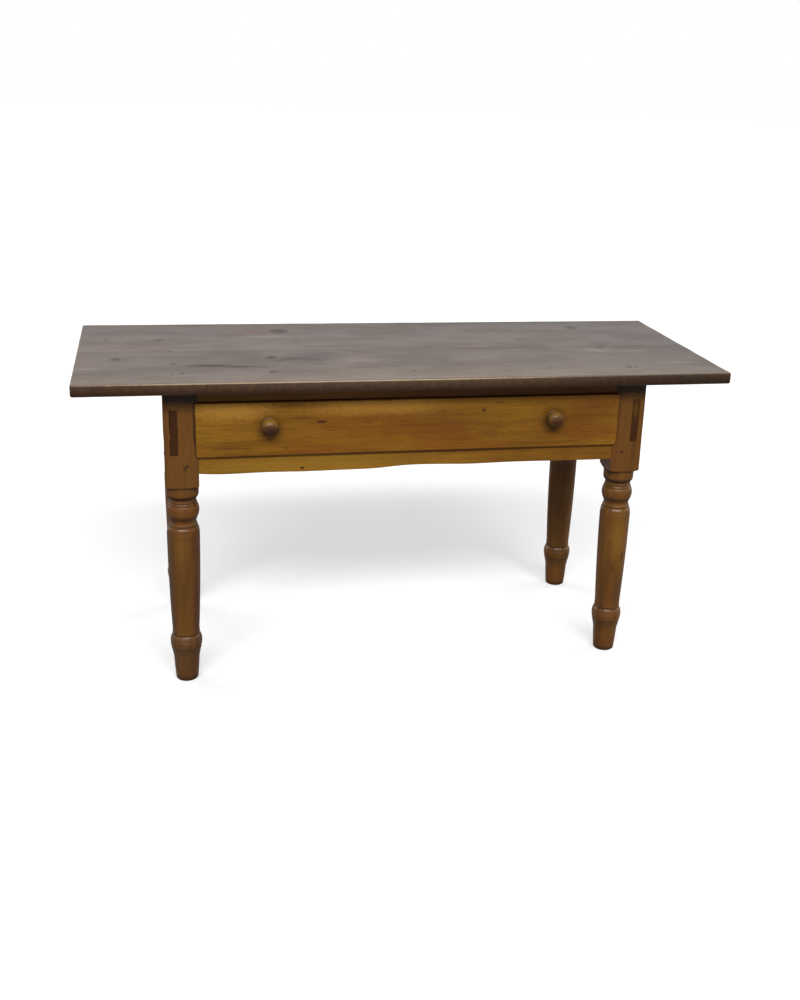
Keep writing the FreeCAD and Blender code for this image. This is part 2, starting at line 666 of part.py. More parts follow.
def knob():
    """Turned mushroom knob, made along +Z from the end of its spigot."""
    shape = Turning(KNOB_SPIGOT_RADIUS)
    shape.line(KNOB_SPIGOT_RADIUS, DRAWER_FRONT_THICKNESS)
    shape.line(KNOB_BASE_RADIUS, 0.0)
    shape.line(KNOB_BASE_RADIUS, KNOB_BASE_LENGTH)
    shape.arc(KNOB_NECK_RADIUS, KNOB_NECK_LENGTH, -KNOB_HOLLOW)
    shape.arc(KNOB_RADIUS, KNOB_FLARE_LENGTH, -KNOB_HOLLOW)
    shape.line(KNOB_RADIUS, KNOB_RIM_LENGTH)
    shape.line(KNOB_EDGE_RADIUS, KNOB_EDGE_LENGTH)
    shape.line(KNOB_FACE_RADIUS, KNOB_BROW_LENGTH)
    shape.dome(KNOB_DOME)
    return shape.solid()


def knob_hole():
    """Hole through the drawer front for a knob's spigot."""
    return Part.makeCylinder(KNOB_SPIGOT_RADIUS + FIT, DRAWER_FRONT_THICKNESS)


def drawer():
    """All the pieces that slide."""
    made = bottom_boards()
    for name, side in SIDES.items():
        made[f"drawer_side_{name}"] = drawer_side(side)
    front = drawer_front_blank()
    back_y = (DRAWER_REAR - DRAWER_BACK_THICKNESS, DRAWER_REAR)
    back = block((-DRAWER_HALF, DRAWER_HALF), back_y, DRAWER_BACK_Z)
    panel = bottom_panel()
    for name in SIDES:
        front = front.cut(made[f"drawer_side_{name}"])
        back = back.cut(made[f"drawer_side_{name}"])
        made[f"drawer_side_{name}"] = made[f"drawer_side_{name}"].cut(panel)
    front = front.cut(panel)
    made["drawer_knobs"] = []
    for side in SIDES.values():
        place = V(side * KNOB_X, DRAWER_FRONT_BACK, KNOB_Z)
        front = front.cut(aim(knob_hole(), place, V(0, -1, 0)))
        made["drawer_knobs"].append(aim(knob(), place, V(0, -1, 0)))
    made["drawer_front"] = front
    made["drawer_back"] = back
    return made


# ------------------------------------------------------------------ fastening
def fasten(parts, group, nodes, fastener, hole, spots):
    """Drill nodes for a fastener at each spot (place, direction) and keep the fasteners as one group."""
    made = []
    for place, direction in spots:
        cutter = aim(hole, place, direction)
        for node in nodes:
            if parts[node].BoundBox.intersect(cutter.BoundBox):
                parts[node] = parts[node].cut(cutter)
        made.append(aim(fastener, place, direction))
    parts.setdefault(group, []).extend(made)


def posts(parts):
    """Names of the four legs."""
    return [node for node in parts if node.startswith("leg_")]


def peg_spots():
    """Where the pegs of the front rail, the back apron and the end aprons enter the posts."""
    sides = SIDES.values()
    front = [(V(side * (INNER_X + PEG_INSET), -OUTER_Y + PEG_RECESS, RAIL_PEG_Z), V(0, 1, 0))
             for side in sides]
    back = [(V(side * (INNER_X + PEG_INSET), OUTER_Y - PEG_RECESS, z), V(0, -1, 0))
            for side in sides for z in BACK_PEG_Z]
    ends = [(V(side * (OUTER_X - PEG_RECESS), end * POST_Y, z), V(-side, 0, 0))
            for side in sides for end in ENDS.values() for z in END_PEG_Z]
    return {"front_rail_pegs": front, "back_apron_pegs": back, "end_apron_pegs": ends}


def drive_pegs(parts):
    """Peg every mortise and tenon."""
    nodes = posts(parts) + ["front_lower_rail"] + APRONS
    for group, spots in peg_spots().items():
        fasten(parts, group, nodes, peg(), peg_hole(), spots)


def nail_up(parts, group, nodes, length, places, direction):
    """Drive one nail of a length into nodes at each place."""
    spots = [(place + direction * NAIL_SET, direction) for place in places]
    fasten(parts, group, nodes, nail(length), nail_hole(length), spots)


def nail_carriage(parts):
    """Nail the guides down on the runners, and the kickers up to the top."""
    for name, side in SIDES.items():
        x = side * (INNER_X + GUIDE_WIDTH / 2)
        places = [V(x, y, GUIDE_TOP) for y in spread(GUIDE_NAILS, INNER_Y - GUIDE_NAIL_MARGIN)]
        nodes = [f"drawer_guide_{name}", f"drawer_runner_{name}"]
        nail_up(parts, "guide_nails", nodes, GUIDE_NAIL_LENGTH, places, -UP)
        x = side * (RUNNER_X + INNER_X) / 2
        places = [V(x, y, UPPER_RAIL_BOTTOM) for y in spread(KICKER_NAILS, INNER_Y - KICKER_NAIL_MARGIN)]
        nodes = [f"drawer_kicker_{name}", "top_board_front", "top_board_back"]
        nail_up(parts, "kicker_nails", nodes, KICKER_NAIL_LENGTH, places, UP)


def nail_drawer_bottom(parts):
    """Nail the drawer bottom up into the drawer back."""
    y = DRAWER_REAR - DRAWER_BACK_THICKNESS / 2
    z = DRAWER_FLOOR - BOTTOM_THICKNESS
    places = [V(x, y, z) for x in spread(BOTTOM_NAILS, DRAWER_SIDE_INNER - BOTTOM_NAIL_MARGIN)]
    nodes = ["drawer_bottom_back", "drawer_back"]
    nail_up(parts, "drawer_bottom_nails", nodes, BOTTOM_NAIL_LENGTH, places, UP)


def nail_top(parts):
    """Nail the top down into the rail, the back apron, the end aprons and the posts."""
    half_row = (TOP_RAIL_NAILS - 1) * TOP_RAIL_NAIL_SPACING / 2
    row = spread(TOP_RAIL_NAILS, half_row)
    places = [V(x, RAIL_MIDDLE_Y, TABLE_HEIGHT) for x in row]
    places += [V(x, sum(BACK_APRON_Y) / 2, TABLE_HEIGHT) for x in row]
    for side in SIDES.values():
        x = side * (OUTER_X - TOP_NAIL_INSET)
        places += [V(x, y, TABLE_HEIGHT) for y in spread(TOP_END_NAILS, -RAIL_MIDDLE_Y)]
    nodes = posts(parts) + ["top_board_front", "top_board_back", "front_upper_rail"] + APRONS
    nail_up(parts, "top_nails", nodes, TOP_NAIL_LENGTH, places, -UP)


# ------------------------------------------------------------------ assembly
def build():
    """Every node of the table by name; a group of fasteners is a list of solids."""
    parts = top_boards()
    parts.update(legs())
    parts["back_apron"] = back_apron()
    parts["front_lower_rail"] = lower_rail()
    parts["front_upper_rail"] = upper_rail()
    for name, side in SIDES.items():
        parts[f"end_apron_{name}"] = end_apron(side)
        parts[f"drawer_runner_{name}"] = runner(side)
        parts[f"drawer_guide_{name}"] = guide(side)
        parts[f"drawer_kicker_{name}"] = kicker(side)
    parts.update(drawer())
    drive_pegs(parts)
    nail_carriage(parts)
    nail_drawer_bottom(parts)
    nail_top(parts)
    return parts


def export(parts):
    """Write one STEP file per node."""
    os.makedirs("parts", exist_ok=True)
    for node, shape in parts.items():
        if isinstance(shape, list):
            shape = Part.makeCompound(shape)
        shape.exportStep(f"parts/{node}.step")


export(build())
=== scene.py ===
import logging
import math
from dataclasses import dataclass, field
from enum import Enum
from typing import Any, Iterable, Optional, Sequence

import bpy
import numpy as np
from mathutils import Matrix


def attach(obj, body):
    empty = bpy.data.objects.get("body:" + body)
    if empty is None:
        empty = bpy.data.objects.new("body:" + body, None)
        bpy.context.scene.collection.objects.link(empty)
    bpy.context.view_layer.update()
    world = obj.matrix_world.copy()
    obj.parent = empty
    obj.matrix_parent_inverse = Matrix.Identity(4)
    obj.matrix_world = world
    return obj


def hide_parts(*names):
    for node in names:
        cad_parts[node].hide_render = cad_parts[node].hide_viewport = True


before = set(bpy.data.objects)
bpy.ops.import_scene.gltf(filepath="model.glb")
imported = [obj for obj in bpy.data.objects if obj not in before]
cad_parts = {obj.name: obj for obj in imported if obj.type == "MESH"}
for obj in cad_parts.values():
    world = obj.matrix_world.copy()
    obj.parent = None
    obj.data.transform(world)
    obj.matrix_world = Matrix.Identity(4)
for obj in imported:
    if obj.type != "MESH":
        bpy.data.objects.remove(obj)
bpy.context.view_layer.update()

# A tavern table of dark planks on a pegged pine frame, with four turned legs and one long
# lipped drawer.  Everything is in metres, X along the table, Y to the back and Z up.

LOG = logging.getLogger("tavern_table")
MM = 0.001
WAVES = 8                    # sine waves in a gentle unevenness
CREASE = 38.0                # degrees between faces past which an edge is sharp
WHITE = (1.0, 1.0, 1.0, 1.0)
ORIGIN = (0.0, 0.0, 0.0)
Colour = tuple[float, float, float, float]
Pair = tuple[float, float]
Point = tuple[float, float, float]
Socket = bpy.types.NodeSocket
Piece = bpy.types.Object
Material = bpy.types.Material
Tree = bpy.types.NodeTree


# ---- named options
class Body(str, Enum):
    """Bodies of the table that pieces ride on."""

    FRAME = "table_frame"
    DRAWER = "drawer"


class Slot(str, Enum):
    """Material slots of the record that new pieces take their finish from."""

    TOP = "dark_top"
    LEG = "leg_wood"
    KNOB = "knob_wood"
    PEG = "peg_wood"


class Grain(Enum):
    """Which way the fibres run: the number of their axis and the turn that brings them along X."""

    ALONG_X = (0, (0.0, 0.0, 0.0))
    ALONG_Y = (1, (0.0, 0.0, -math.pi / 2))
    ALONG_Z = (2, (0.0, math.pi / 2, 0.0))


# ---- small helpers
def srgb(red: float, green: float, blue: float) -> Colour:
    """Linear colour of a 0 to 255 display colour.

    Args:
        red: Red share.
        green: Green share.
        blue: Blue share.

    Returns:
        Linear red, green, blue and an alpha of one.
    """
    shares = np.array([red, green, blue]) / 255.0
    linear = np.where(shares <= 0.04045, shares / 12.92, ((shares + 0.055) / 1.055) ** 2.4)
    return (float(linear[0]), float(linear[1]), float(linear[2]), 1.0)


def wander(u: np.ndarray, v: np.ndarray, height: float, length: float, seed: int) -> np.ndarray:
    """Gentle unevenness: a sum of eight sine waves with seeded directions and phases.

    Each wave is sin(2 pi (u cos a + v sin a) / l + p), with l from 0.6 to 1.6 times length, and
    the sum is scaled so that it seldom passes height.

    Args:
        u: First coordinate of each point, in metres.
        v: Second coordinate of each point, in metres.
        height: Greatest height of the waves.
        length: Middle wavelength.
        seed: Seed of the directions, wavelengths and phases.

    Returns:
        Heights of the points.
    """
    rng = np.random.default_rng(seed)
    total = np.zeros(np.broadcast(u, v).shape)
    for _ in range(WAVES):
        angle, phase = rng.uniform(0, 2 * math.pi, 2)
        wave = length * rng.uniform(0.6, 1.6)
        along = u * math.cos(angle) + v * math.sin(angle)
        total = total + np.sin(2 * math.pi * along / wave + phase)
    return total * height / (WAVES / 2)


def fall(distance: np.ndarray, radius: np.ndarray | float) -> np.ndarray:
    """Drop of a rounded edge: r - sqrt(r^2 - (r - d)^2) within r of the edge, and nothing further in.

    Args:
        distance: Distance in from the outline.
        radius: Radius of the edge.

    Returns:
        How far the surface drops there.
    """
    inward = np.clip(radius - distance, 0.0, radius)
    return radius - np.sqrt(np.maximum(radius**2 - inward**2, 0.0))


def add_object(name: str, points: np.ndarray, faces: list[list[int]], crease: float = CREASE) -> Piece:
    """Mesh object at the origin with smooth shading and sharp edges past an angle.

    Args:
        name: Name of the piece.
        points: Points, one row each.
        faces: Corner numbers of each face.
        crease: Degrees between faces past which an edge is sharp.

    Returns:
        The new object.
    """
    mesh = bpy.data.meshes.new(name)
    mesh.from_pydata(points.tolist(), [], faces)
    mesh.validate()
    mesh.polygons.foreach_set("use_smooth", np.ones(len(mesh.polygons), dtype=bool))
    mesh.set_sharp_from_angle(angle=math.radians(crease))
    mesh.update()
    made = bpy.data.objects.new(name, mesh)
    bpy.context.scene.collection.objects.link(made)
    return made


def skin(rings: np.ndarray, first: int) -> tuple[np.ndarray, list[list[int]]]:
    """Closed skin over a stack of rings, each end closed by a fan to its middle.

    Args:
        rings: Points of the rings, as rows x around x 3, rising along their axis and turning
            anticlockwise seen from its end.
        first: Number of the first point, where several skins share a mesh.

    Returns:
        Points and faces.
    """
    rows, around = rings.shape[:2]
    index = np.arange(rows * around).reshape(rows, around) + first
    after = np.roll(index, -1, axis=1)
    quads = np.stack([index[:-1], after[:-1], after[1:], index[1:]], axis=-1).reshape(-1, 4)
    low = np.stack([after[0], index[0], np.full(around, rows * around + first)], axis=-1)
    high = np.stack([index[-1], after[-1], np.full(around, rows * around + first + 1)], axis=-1)
    middles = np.stack([rings[0].mean(axis=0), rings[-1].mean(axis=0)])
    points = np.concatenate([rings.reshape(-1, 3), middles])
    return points, quads.tolist() + low.tolist() + high.tolist()


def add_skins(name: str, stacks: Iterable[np.ndarray], crease: float) -> Piece:
    """One object of several closed skins.

    Args:
        name: Name of the piece.
        stacks: Rings of each skin.
        crease: Degrees past which an edge is sharp.

    Returns:
        The new object.
    """
    all_points: list[np.ndarray] = []
    all_faces: list[list[int]] = []
    count = 0
    for rings in stacks:
        points, faces = skin(rings, count)
        count += len(points)
        all_points.append(points)
        all_faces += faces
    return add_object(name, np.concatenate(all_points), all_faces, crease)


def settle(piece: Piece, body: Body, material: Material, node: str) -> None:
    """Dress a new piece, let it ride on its body and stand for the node that it replaces.

    Args:
        piece: The new piece.
        body: Body that it rides on.
        material: Its finish.
        node: Node that it stands for.
    """
    piece.data.materials.append(material)
    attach(piece, body.value)
    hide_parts(node)
    LOG.info("%s: %d faces, for %s", piece.name, len(piece.data.polygons), node)


# ---- node graphs
class Graph:
    """Nodes of one material or group, added and wired a line at a time."""

    def __init__(self, tree: Tree) -> None:
        """Take the tree that nodes are added to."""
        self.tree = tree

    @classmethod
    def of(cls, owner: Any) -> "Graph":
        """Emptied graph of a new material or world."""
        owner.use_nodes = True
        owner.node_tree.nodes.clear()
        return cls(owner.node_tree)

    def link(self, source: Socket, target: Socket) -> None:
        """Wire one socket to another."""
        self.tree.links.new(source, target)

    def shade(self, shader: str, inputs: dict[Any, Any], output: str = "ShaderNodeOutputMaterial") -> None:
        """Add a shader of a kind with its inputs, and wire it to an output."""
        self.link(self.add(shader, inputs).outputs[0], self.add(output).inputs[0])

    def effect(self, name: str, inputs: dict[Any, Any]) -> Any:
        """Outputs of a shared effect."""
        return self.add("ShaderNodeGroup", inputs, node_tree=Effects.group(name)).outputs

    def add(self, kind: str, inputs: Optional[dict[Any, Any]] = None, **settings: Any) -> bpy.types.Node:
        """Add a node.

        Args:
            kind: Its type.
            inputs: Sockets to link and values to set, by input name or number.
            **settings: Its own properties.

        Returns:
            The node.
        """
        node = self.tree.nodes.new(kind)
        for key, value in settings.items():
            setattr(node, key, value)
        for key, value in (inputs or {}).items():
            if isinstance(value, Socket):
                self.link(value, node.inputs[key])
            else:
                node.inputs[key].default_value = value
        return node

    def math(self, operation: str, a: Any, b: Any = 0.0, clamp: bool = False) -> Socket:
        """Result of a Math node on a and b."""
        return self.add("ShaderNodeMath", {0: a, 1: b}, operation=operation, use_clamp=clamp).outputs[0]

    def blend(self, a: Any, share_a: float, b: Any, share_b: float, clamp: bool = True) -> Socket:
        """Sum of a and b, each times its share."""
        return self.math("ADD", self.math("MULTIPLY", a, share_a), self.math("MULTIPLY", b, share_b), clamp)

    def vector(self, operation: str, a: Any, b: Any = ORIGIN) -> Socket:
        """Vector result of a Vector Math node on a and b."""
        return self.add("ShaderNodeVectorMath", {0: a, 1: b}, operation=operation).outputs["Vector"]

    def length(self, a: Any) -> Socket:
        """Length of a vector."""
        return self.add("ShaderNodeVectorMath", {0: a}, operation="LENGTH").outputs["Value"]

    def mix(self, factor: Any, a: Any, b: Any, blend: str = "MIX") -> Socket:
        """Colour between a and b."""
        node = self.add("ShaderNodeMix", {0: factor, 6: a, 7: b}, data_type="RGBA", blend_type=blend)
        return node.outputs[2]

    def step(self, value: Any, low: Any, high: Any, to_low: float = 0.0, to_high: float = 1.0) -> Socket:
        """Smooth step of value from to_low at low to to_high at high."""
        sockets = {"Value": value, "From Min": low, "From Max": high, "To Min": to_low, "To Max": to_high}
        return self.add("ShaderNodeMapRange", sockets, interpolation_type="SMOOTHSTEP").outputs["Result"]

    def noise(self, vector: Any, scale: float = 1.0, detail: float = 2.0, rough: float = 0.5) -> bpy.types.Node:
        """Noise texture over a vector."""
        sockets = {"Vector": vector, "Scale": scale, "Detail": detail, "Roughness": rough}
        return self.add("ShaderNodeTexNoise", sockets)

    def fibre(self, vector: Any, along: Any, across: float, detail: float = 2.0) -> Socket:
        """Noise drawn out along X: along and across are waves per metre."""
        scales = self.add("ShaderNodeCombineXYZ", {0: along, 1: across, 2: across}).outputs[0]
        return self.noise(self.vector("MULTIPLY", vector, scales), 1.0, detail).outputs[0]


class Effects:
    """Effects that several finishes share, each a node group made once."""

    _made: dict[str, Tree] = {}

    @classmethod
    def group(cls, name: str) -> Tree:
        """The group of a name, made at its first use.

        Args:
            name: "figure", "wear" or "spot".

        Returns:
            The node group.
        """
        if name not in cls._made:
            cls._made[name] = getattr(cls, f"_{name}")()
        return cls._made[name]

    @staticmethod
    def _begin(name: str, inputs: dict[str, Any], outputs: dict[str, Any]) -> tuple[Graph, Any, Any]:
        """Start a group.

        Args:
            name: Name of the group.
            inputs: Default of each input by its name, which also tells the kind of its socket.
            outputs: A value of the kind of each output by its name.

        Returns:
            Its graph, its inputs and the sockets that it puts out.
        """
        tree = bpy.data.node_groups.new(name, "ShaderNodeTree")
        for way, sockets in (("INPUT", inputs), ("OUTPUT", outputs)):
            for label, value in sockets.items():
                kind = "Float" if isinstance(value, float) else {3: "Vector", 4: "Color"}[len(value)]
                socket = tree.interface.new_socket(label, in_out=way, socket_type=f"NodeSocket{kind}")
                if way == "INPUT":
                    socket.default_value = value
        graph = Graph(tree)
        return graph, graph.add("NodeGroupInput").outputs, graph.add("NodeGroupOutput").inputs

    @classmethod
    def _figure(cls) -> Tree:
        """Growth rings round an axis along X, warped by slow noise, with fibres, streaks and dashes.

        The ring number is the distance from the axis times Rings, and its fraction to the third
        power is the dark late wood.  Blotches, warm patches, streaks and dashes are smooth steps of
        noise that is drawn out along X, each at its own scale.
        """
        g, at, leave = cls._begin("wood figure", {
            "Vector": ORIGIN, "Rings": 150.0, "Warp": 0.01, "Streaks": 0.5, "Dashes": 0.5, "Warmth": 0.3,
            "Light": WHITE, "Mid": WHITE, "Dark": WHITE, "Warm": WHITE, "Clouds": 3.2, "Seed": 0.0},
            {"Color": WHITE, "Height": 0.0, "Tone": 0.0})
        # waves a metre along and across the fibres, and detail
        fine_waves, medium_waves = (9.0, 700.0, 3.0), (6.0, 150.0, 3.0)
        streak_waves, dash_waves = (2.6, 52.0, 3.0), (22.0, 330.0, 1.0)
        blotch_across, warm_across = (15.0, 4.0), (12.0, 3.0)
        warp_waves, warm_offset = (2.2, 9.0, 9.0), (7.3, 0.0, 0.0)
        place = g.vector("ADD", at["Vector"], g.add("ShaderNodeCombineXYZ", {0: at["Seed"]}).outputs[0])
        slow = g.noise(g.vector("MULTIPLY", place, warp_waves), 1.0, 2.0).outputs["Color"]
        centred = g.vector("SUBTRACT", slow, (0.5, 0.5, 0.5))
        shift = g.add("ShaderNodeVectorMath", {0: centred, "Scale": at["Warp"]}, operation="SCALE").outputs[0]
        warped = g.vector("MULTIPLY", g.vector("ADD", at["Vector"], shift), (0.0, 1.0, 1.0))
        late = g.math("POWER", g.math("FRACT", g.math("MULTIPLY", g.length(warped), at["Rings"])), 3.0)
        fine = g.fibre(place, *fine_waves)
        medium = g.step(g.fibre(place, *medium_waves), 0.3, 0.7)
        streak = g.step(g.fibre(place, *streak_waves), 0.50, 0.68)
        dash = g.step(g.fibre(place, *dash_waves), 0.62, 0.72)
        blotch = g.step(g.fibre(place, at["Clouds"], *blotch_across), 0.36, 0.66)
        warm = g.step(g.fibre(g.vector("ADD", place, warm_offset), at["Clouds"], *warm_across), 0.44, 0.66)
        tone = g.blend(late, 0.4, medium, 0.5)
        colour = g.mix(g.blend(tone, 0.65, blotch, 0.45), at["Light"], at["Mid"])
        layers = ((warm, "Warmth", "Warm"), (streak, "Streaks", "Dark"), (dash, "Dashes", "Dark"))
        for mask, share, tint in layers:
            colour = g.mix(g.math("MULTIPLY", mask, at[share], clamp=True), colour, at[tint])
        level = g.step(fine, 0.2, 0.8, 0.88, 1.1)
        grey = g.add("ShaderNodeCombineColor", {0: level, 1: level, 2: level}).outputs[0]
        g.link(g.mix(1.0, colour, grey, "MULTIPLY"), leave["Color"])
        g.link(g.blend(fine, 0.6, late, 0.4, clamp=False), leave["Height"])
        g.link(blotch, leave["Tone"])
        return g.tree

    @classmethod
    def _wear(cls) -> Tree:
        """Rubbed edges, and corners darkened by dirt and painted shade.

        The edge mask is how far a rounded normal turns from the true one, broken up by noise, and
        the mask of dirt and painted shade is what a short ambient ray meets.
        """
        g, at, leave = cls._begin("rubbed edges, dirt and shade", {"Vector": ORIGIN, "Radius": 0.002, "Reach": 0.012},
                                  {"Edge": 0.0, "Dirt and shade": 0.0, "Normal": ORIGIN})
        rounded = g.add("ShaderNodeBevel", {"Radius": at["Radius"]}, samples=4).outputs[0]
        true = g.add("ShaderNodeNewGeometry").outputs["Normal"]
        dot = g.add("ShaderNodeVectorMath", {0: rounded, 1: true}, operation="DOT_PRODUCT").outputs["Value"]
        turn_gain = 9.0
        turn = g.math("MULTIPLY", g.math("SUBTRACT", 1.0, dot), turn_gain, clamp=True)
        broken = g.step(g.noise(at["Vector"], 55.0, 4.0, 0.6).outputs[0], 0.36, 0.62)
        ambient = g.add("ShaderNodeAmbientOcclusion", {"Distance": at["Reach"]}, samples=6).outputs["AO"]
        dirt_and_shade = g.step(ambient, 0.25, 0.85, 1.0, 0.0)
        clear = g.math("SUBTRACT", 1.0, dirt_and_shade, clamp=True)
        g.link(g.math("MULTIPLY", g.math("MULTIPLY", turn, broken), clear), leave["Edge"])
        g.link(dirt_and_shade, leave["Dirt and shade"])
        g.link(rounded, leave["Normal"])
        return g.tree

    @classmethod
    def _spot(cls) -> Tree:
        """Mask of one ragged mark: one within its ellipse and fading out at its rim.

        The distance is the length of the place from Centre over Size, plus noise times Ragged.
        """
        g, at, leave = cls._begin("ragged spot", {
            "Vector": ORIGIN, "Centre": ORIGIN, "Size": (0.01, 0.01, 0.01), "Turn": 0.0, "Ragged": 0.4,
            "Soft": 0.5}, {"Mask": 0.0})
        local = g.vector("SUBTRACT", at["Vector"], at["Centre"])
        turned = g.add("ShaderNodeVectorRotate", {"Vector": local, "Angle": at["Turn"]},
                       rotation_type="Z_AXIS").outputs[0]
        share = g.length(g.vector("DIVIDE", turned, at["Size"]))
        ragged = g.math("SUBTRACT", g.noise(at["Vector"], 90.0, 3.0, 0.6).outputs[0], 0.5)
        distance = g.math("ADD", share, g.math("MULTIPLY", ragged, g.math("MULTIPLY", at["Ragged"], 2.0)))
        low, high = (g.math(way, 1.0, at["Soft"]) for way in ("SUBTRACT", "ADD"))
        g.link(g.step(distance, low, high, 1.0, 0.0), leave["Mask"])
        return g.tree


# ---- finishes
class Mark(Enum):
    """Kinds of mark, as their colour and what they add to the roughness."""

    STAIN = (srgb(46, 36, 36), 0.12)
    RUST = (srgb(84, 44, 18), 0.05)
    GOLD = (srgb(152, 114, 40), 0.0)
    # Used only on the drawer front, as painted light over its honey patches, lifting the upper band that lies
    # in the top's shadow.
    HONEY_AND_PAINTED_LIGHT = (srgb(178, 131, 56), 0.0)
    RUB = (srgb(128, 104, 82), -0.05)
    BARE = (srgb(182, 160, 134), 0.1)
    KNOT = (srgb(26, 16, 11), 0.18)
    # Grime, and also painted shade: the bands under the legs' shoulders, the top's shadow on the front legs and
    # the shade round the knobs' necks.
    GRIME_AND_SHADE = (srgb(18, 11, 7), 0.25)


@dataclass(frozen=True)
class Spot:
    """A mark on a piece, by its place and half sizes in millimetres."""

    place: Point
    size: Point
    depth: float
    turn: float
    ragged: float
    soft: float
    kind: Mark


def marks(kind: Mark, ragged: float, soft: float, *rows: Sequence[float]) -> list[Spot]:
    """Marks of one kind whose rims are alike.

    Args:
        kind: What the marks are.
        ragged: How uneven their rims are.
        soft: How far their rims fade.
        *rows: Place, half sizes, depth and turn of each mark, the turn only where there is one.

    Returns:
        The marks.
    """
    return [Spot(tuple(row[:3]), tuple(row[3:6]), row[6], sum(row[7:]), ragged, soft, kind) for row in rows]


def knots(*rows: Sequence[float]) -> list[Spot]:
    """Plain knots, by rows as marks takes them."""
    return marks(Mark.KNOT, 0.4, 0.5, *rows)


def on_top(kind: Mark, ragged: float, soft: float, *rows: Sequence[float]) -> list[Spot]:
    """Marks on the face of the top, by rows as marks takes them but without the heights."""
    return marks(kind, ragged, soft, *((x, y, 760, a, b, 20, *rest) for x, y, a, b, *rest in rows))


@dataclass(frozen=True)
class WoodFinish:
    """A wood with its colours, figure, gloss and wear."""

    name: str
    light: Colour
    mid: Colour
    dark: Colour
    warm: Colour
    worn: Colour
    # Colour of the dirt and painted shade that the ambient mask lays in corners and creases.
    dirt_and_shade: Colour
    end: Colour
    rings: float = 150.0
    warp: float = 0.012
    streaks: float = 0.5
    dashes: float = 0.35
    warmth: float = 0.4
    smooth: float = 0.34
    rough: float = 0.5
    shine: float = 0.3
    varnish: float = 0.0
    gloss: float = 0.3
    relief: float = 0.25
    edge: float = 0.6
    edge_radius: float = 0.0018
    # Strength of the dirt and painted shade that the ambient mask lays in corners and creases.
    grime_and_shade: float = 0.8
    reach: float = 0.012
    clouds: float = 3.2
    # Colour that upright faces take, at rim_share: painted shade by facing.
    rim: Colour = (0.0, 0.0, 0.0, 1.0)
    rim_share: float = 0.0
    rim_rough: float = 0.4
    dirt_rough: float = 0.25
    fibre_height: float = 0.0006

    def material(self, name: str, grain: Grain, pith: Point, seed: float,
                 spots: Sequence[Spot] = ()) -> Material:
        """Make the finish for one piece.

        Args:
            name: Name of the piece.
            grain: Which way its fibres run.
            pith: A point on the axis of its growth rings, in metres.
            seed: Shift along the grain that makes pieces differ.
            spots: Marks on it.

        Returns:
            The material.
        """
        material = bpy.data.materials.new(f"{self.name} {name.replace('_', ' ')}")
        g = Graph.of(material)
        axis, rotation = grain.value
        place = g.add("ShaderNodeTexCoord").outputs["Object"]
        local = g.vector("SUBTRACT", place, pith)
        turned = g.add("ShaderNodeMapping", {"Vector": local, "Rotation": rotation}).outputs[0]
        own = {label: getattr(self, label.lower()) for label in (
            "Rings", "Warp", "Streaks", "Dashes", "Warmth", "Light", "Mid", "Dark", "Warm", "Clouds")}
        figure = g.effect("figure", {"Vector": turned, "Seed": seed, **own})
        wear = g.effect("wear", {"Vector": place, "Radius": self.edge_radius, "Reach": self.reach})
        facing = g.add("ShaderNodeSeparateXYZ", {0: g.add("ShaderNodeNewGeometry").outputs["Normal"]}).outputs
        cut = g.step(g.math("ABSOLUTE", facing[axis]), 0.75, 0.95)
        colour = g.mix(cut, figure["Color"], self.end)
        roughness = g.step(figure["Tone"], 0.1, 0.9, self.smooth, self.rough)
        # Upright faces take the rim colour, darker than the upper face: painted shade by facing.
        if self.rim_share:
            rim = g.step(g.math("ABSOLUTE", facing[2]), 0.3, 0.8, self.rim_share, 0.0)
            colour = g.mix(rim, colour, self.rim)
            roughness = g.math("ADD", roughness, g.math("MULTIPLY", rim, self.rim_rough))
        colour, roughness = self._marked(g, place, spots, colour, roughness)
        edge = g.math("MULTIPLY", wear["Edge"], self.edge, clamp=True)
        # The ambient mask darkens corners and creases: dirt and painted shade.
        dirt_and_shade_mask = g.math("MULTIPLY", wear["Dirt and shade"], self.grime_and_shade, clamp=True)
        colour = g.mix(dirt_and_shade_mask, g.mix(edge, colour, self.worn), self.dirt_and_shade)
        roughness = g.math("ADD", roughness, g.math("MULTIPLY", dirt_and_shade_mask, self.dirt_rough), clamp=True)
        bump = g.add("ShaderNodeBump", {"Height": figure["Height"], "Strength": self.relief,
                                        "Distance": self.fibre_height, "Normal": wear["Normal"]})
        g.shade("ShaderNodeBsdfPrincipled", {
            "Base Color": colour, "Roughness": roughness, "Normal": bump.outputs[0],
            "Specular IOR Level": self.shine, "Coat Weight": self.varnish, "Coat Roughness": self.gloss})
        return material

    @staticmethod
    def _marked(g: Graph, place: Socket, spots: Sequence[Spot], colour: Socket,
                roughness: Socket) -> tuple[Socket, Socket]:
        """Lay marks over a colour and a roughness.

        Args:
            g: Graph of the material.
            place: Place on the table.
            spots: The marks.
            colour: Colour before them.
            roughness: Roughness before them.

        Returns:
            Colour and roughness with the marks.
        """
        for kind in Mark:
            mask: Optional[Socket] = None
            for spot in (s for s in spots if s.kind is kind):
                centre, size = ([c * MM for c in row] for row in (spot.place, spot.size))
                shape = g.effect("spot", {"Vector": place, "Centre": centre, "Size": size, "Turn": spot.turn,
                                          "Ragged": spot.ragged, "Soft": spot.soft})
                one = g.math("MULTIPLY", shape["Mask"], spot.depth)
                mask = one if mask is None else g.math("MAXIMUM", mask, one)
            if mask is not None:
                tint, gloss = kind.value
                colour = g.mix(mask, colour, tint)
                roughness = g.math("ADD", roughness, g.math("MULTIPLY", mask, gloss), clamp=True)
        return colour, roughness


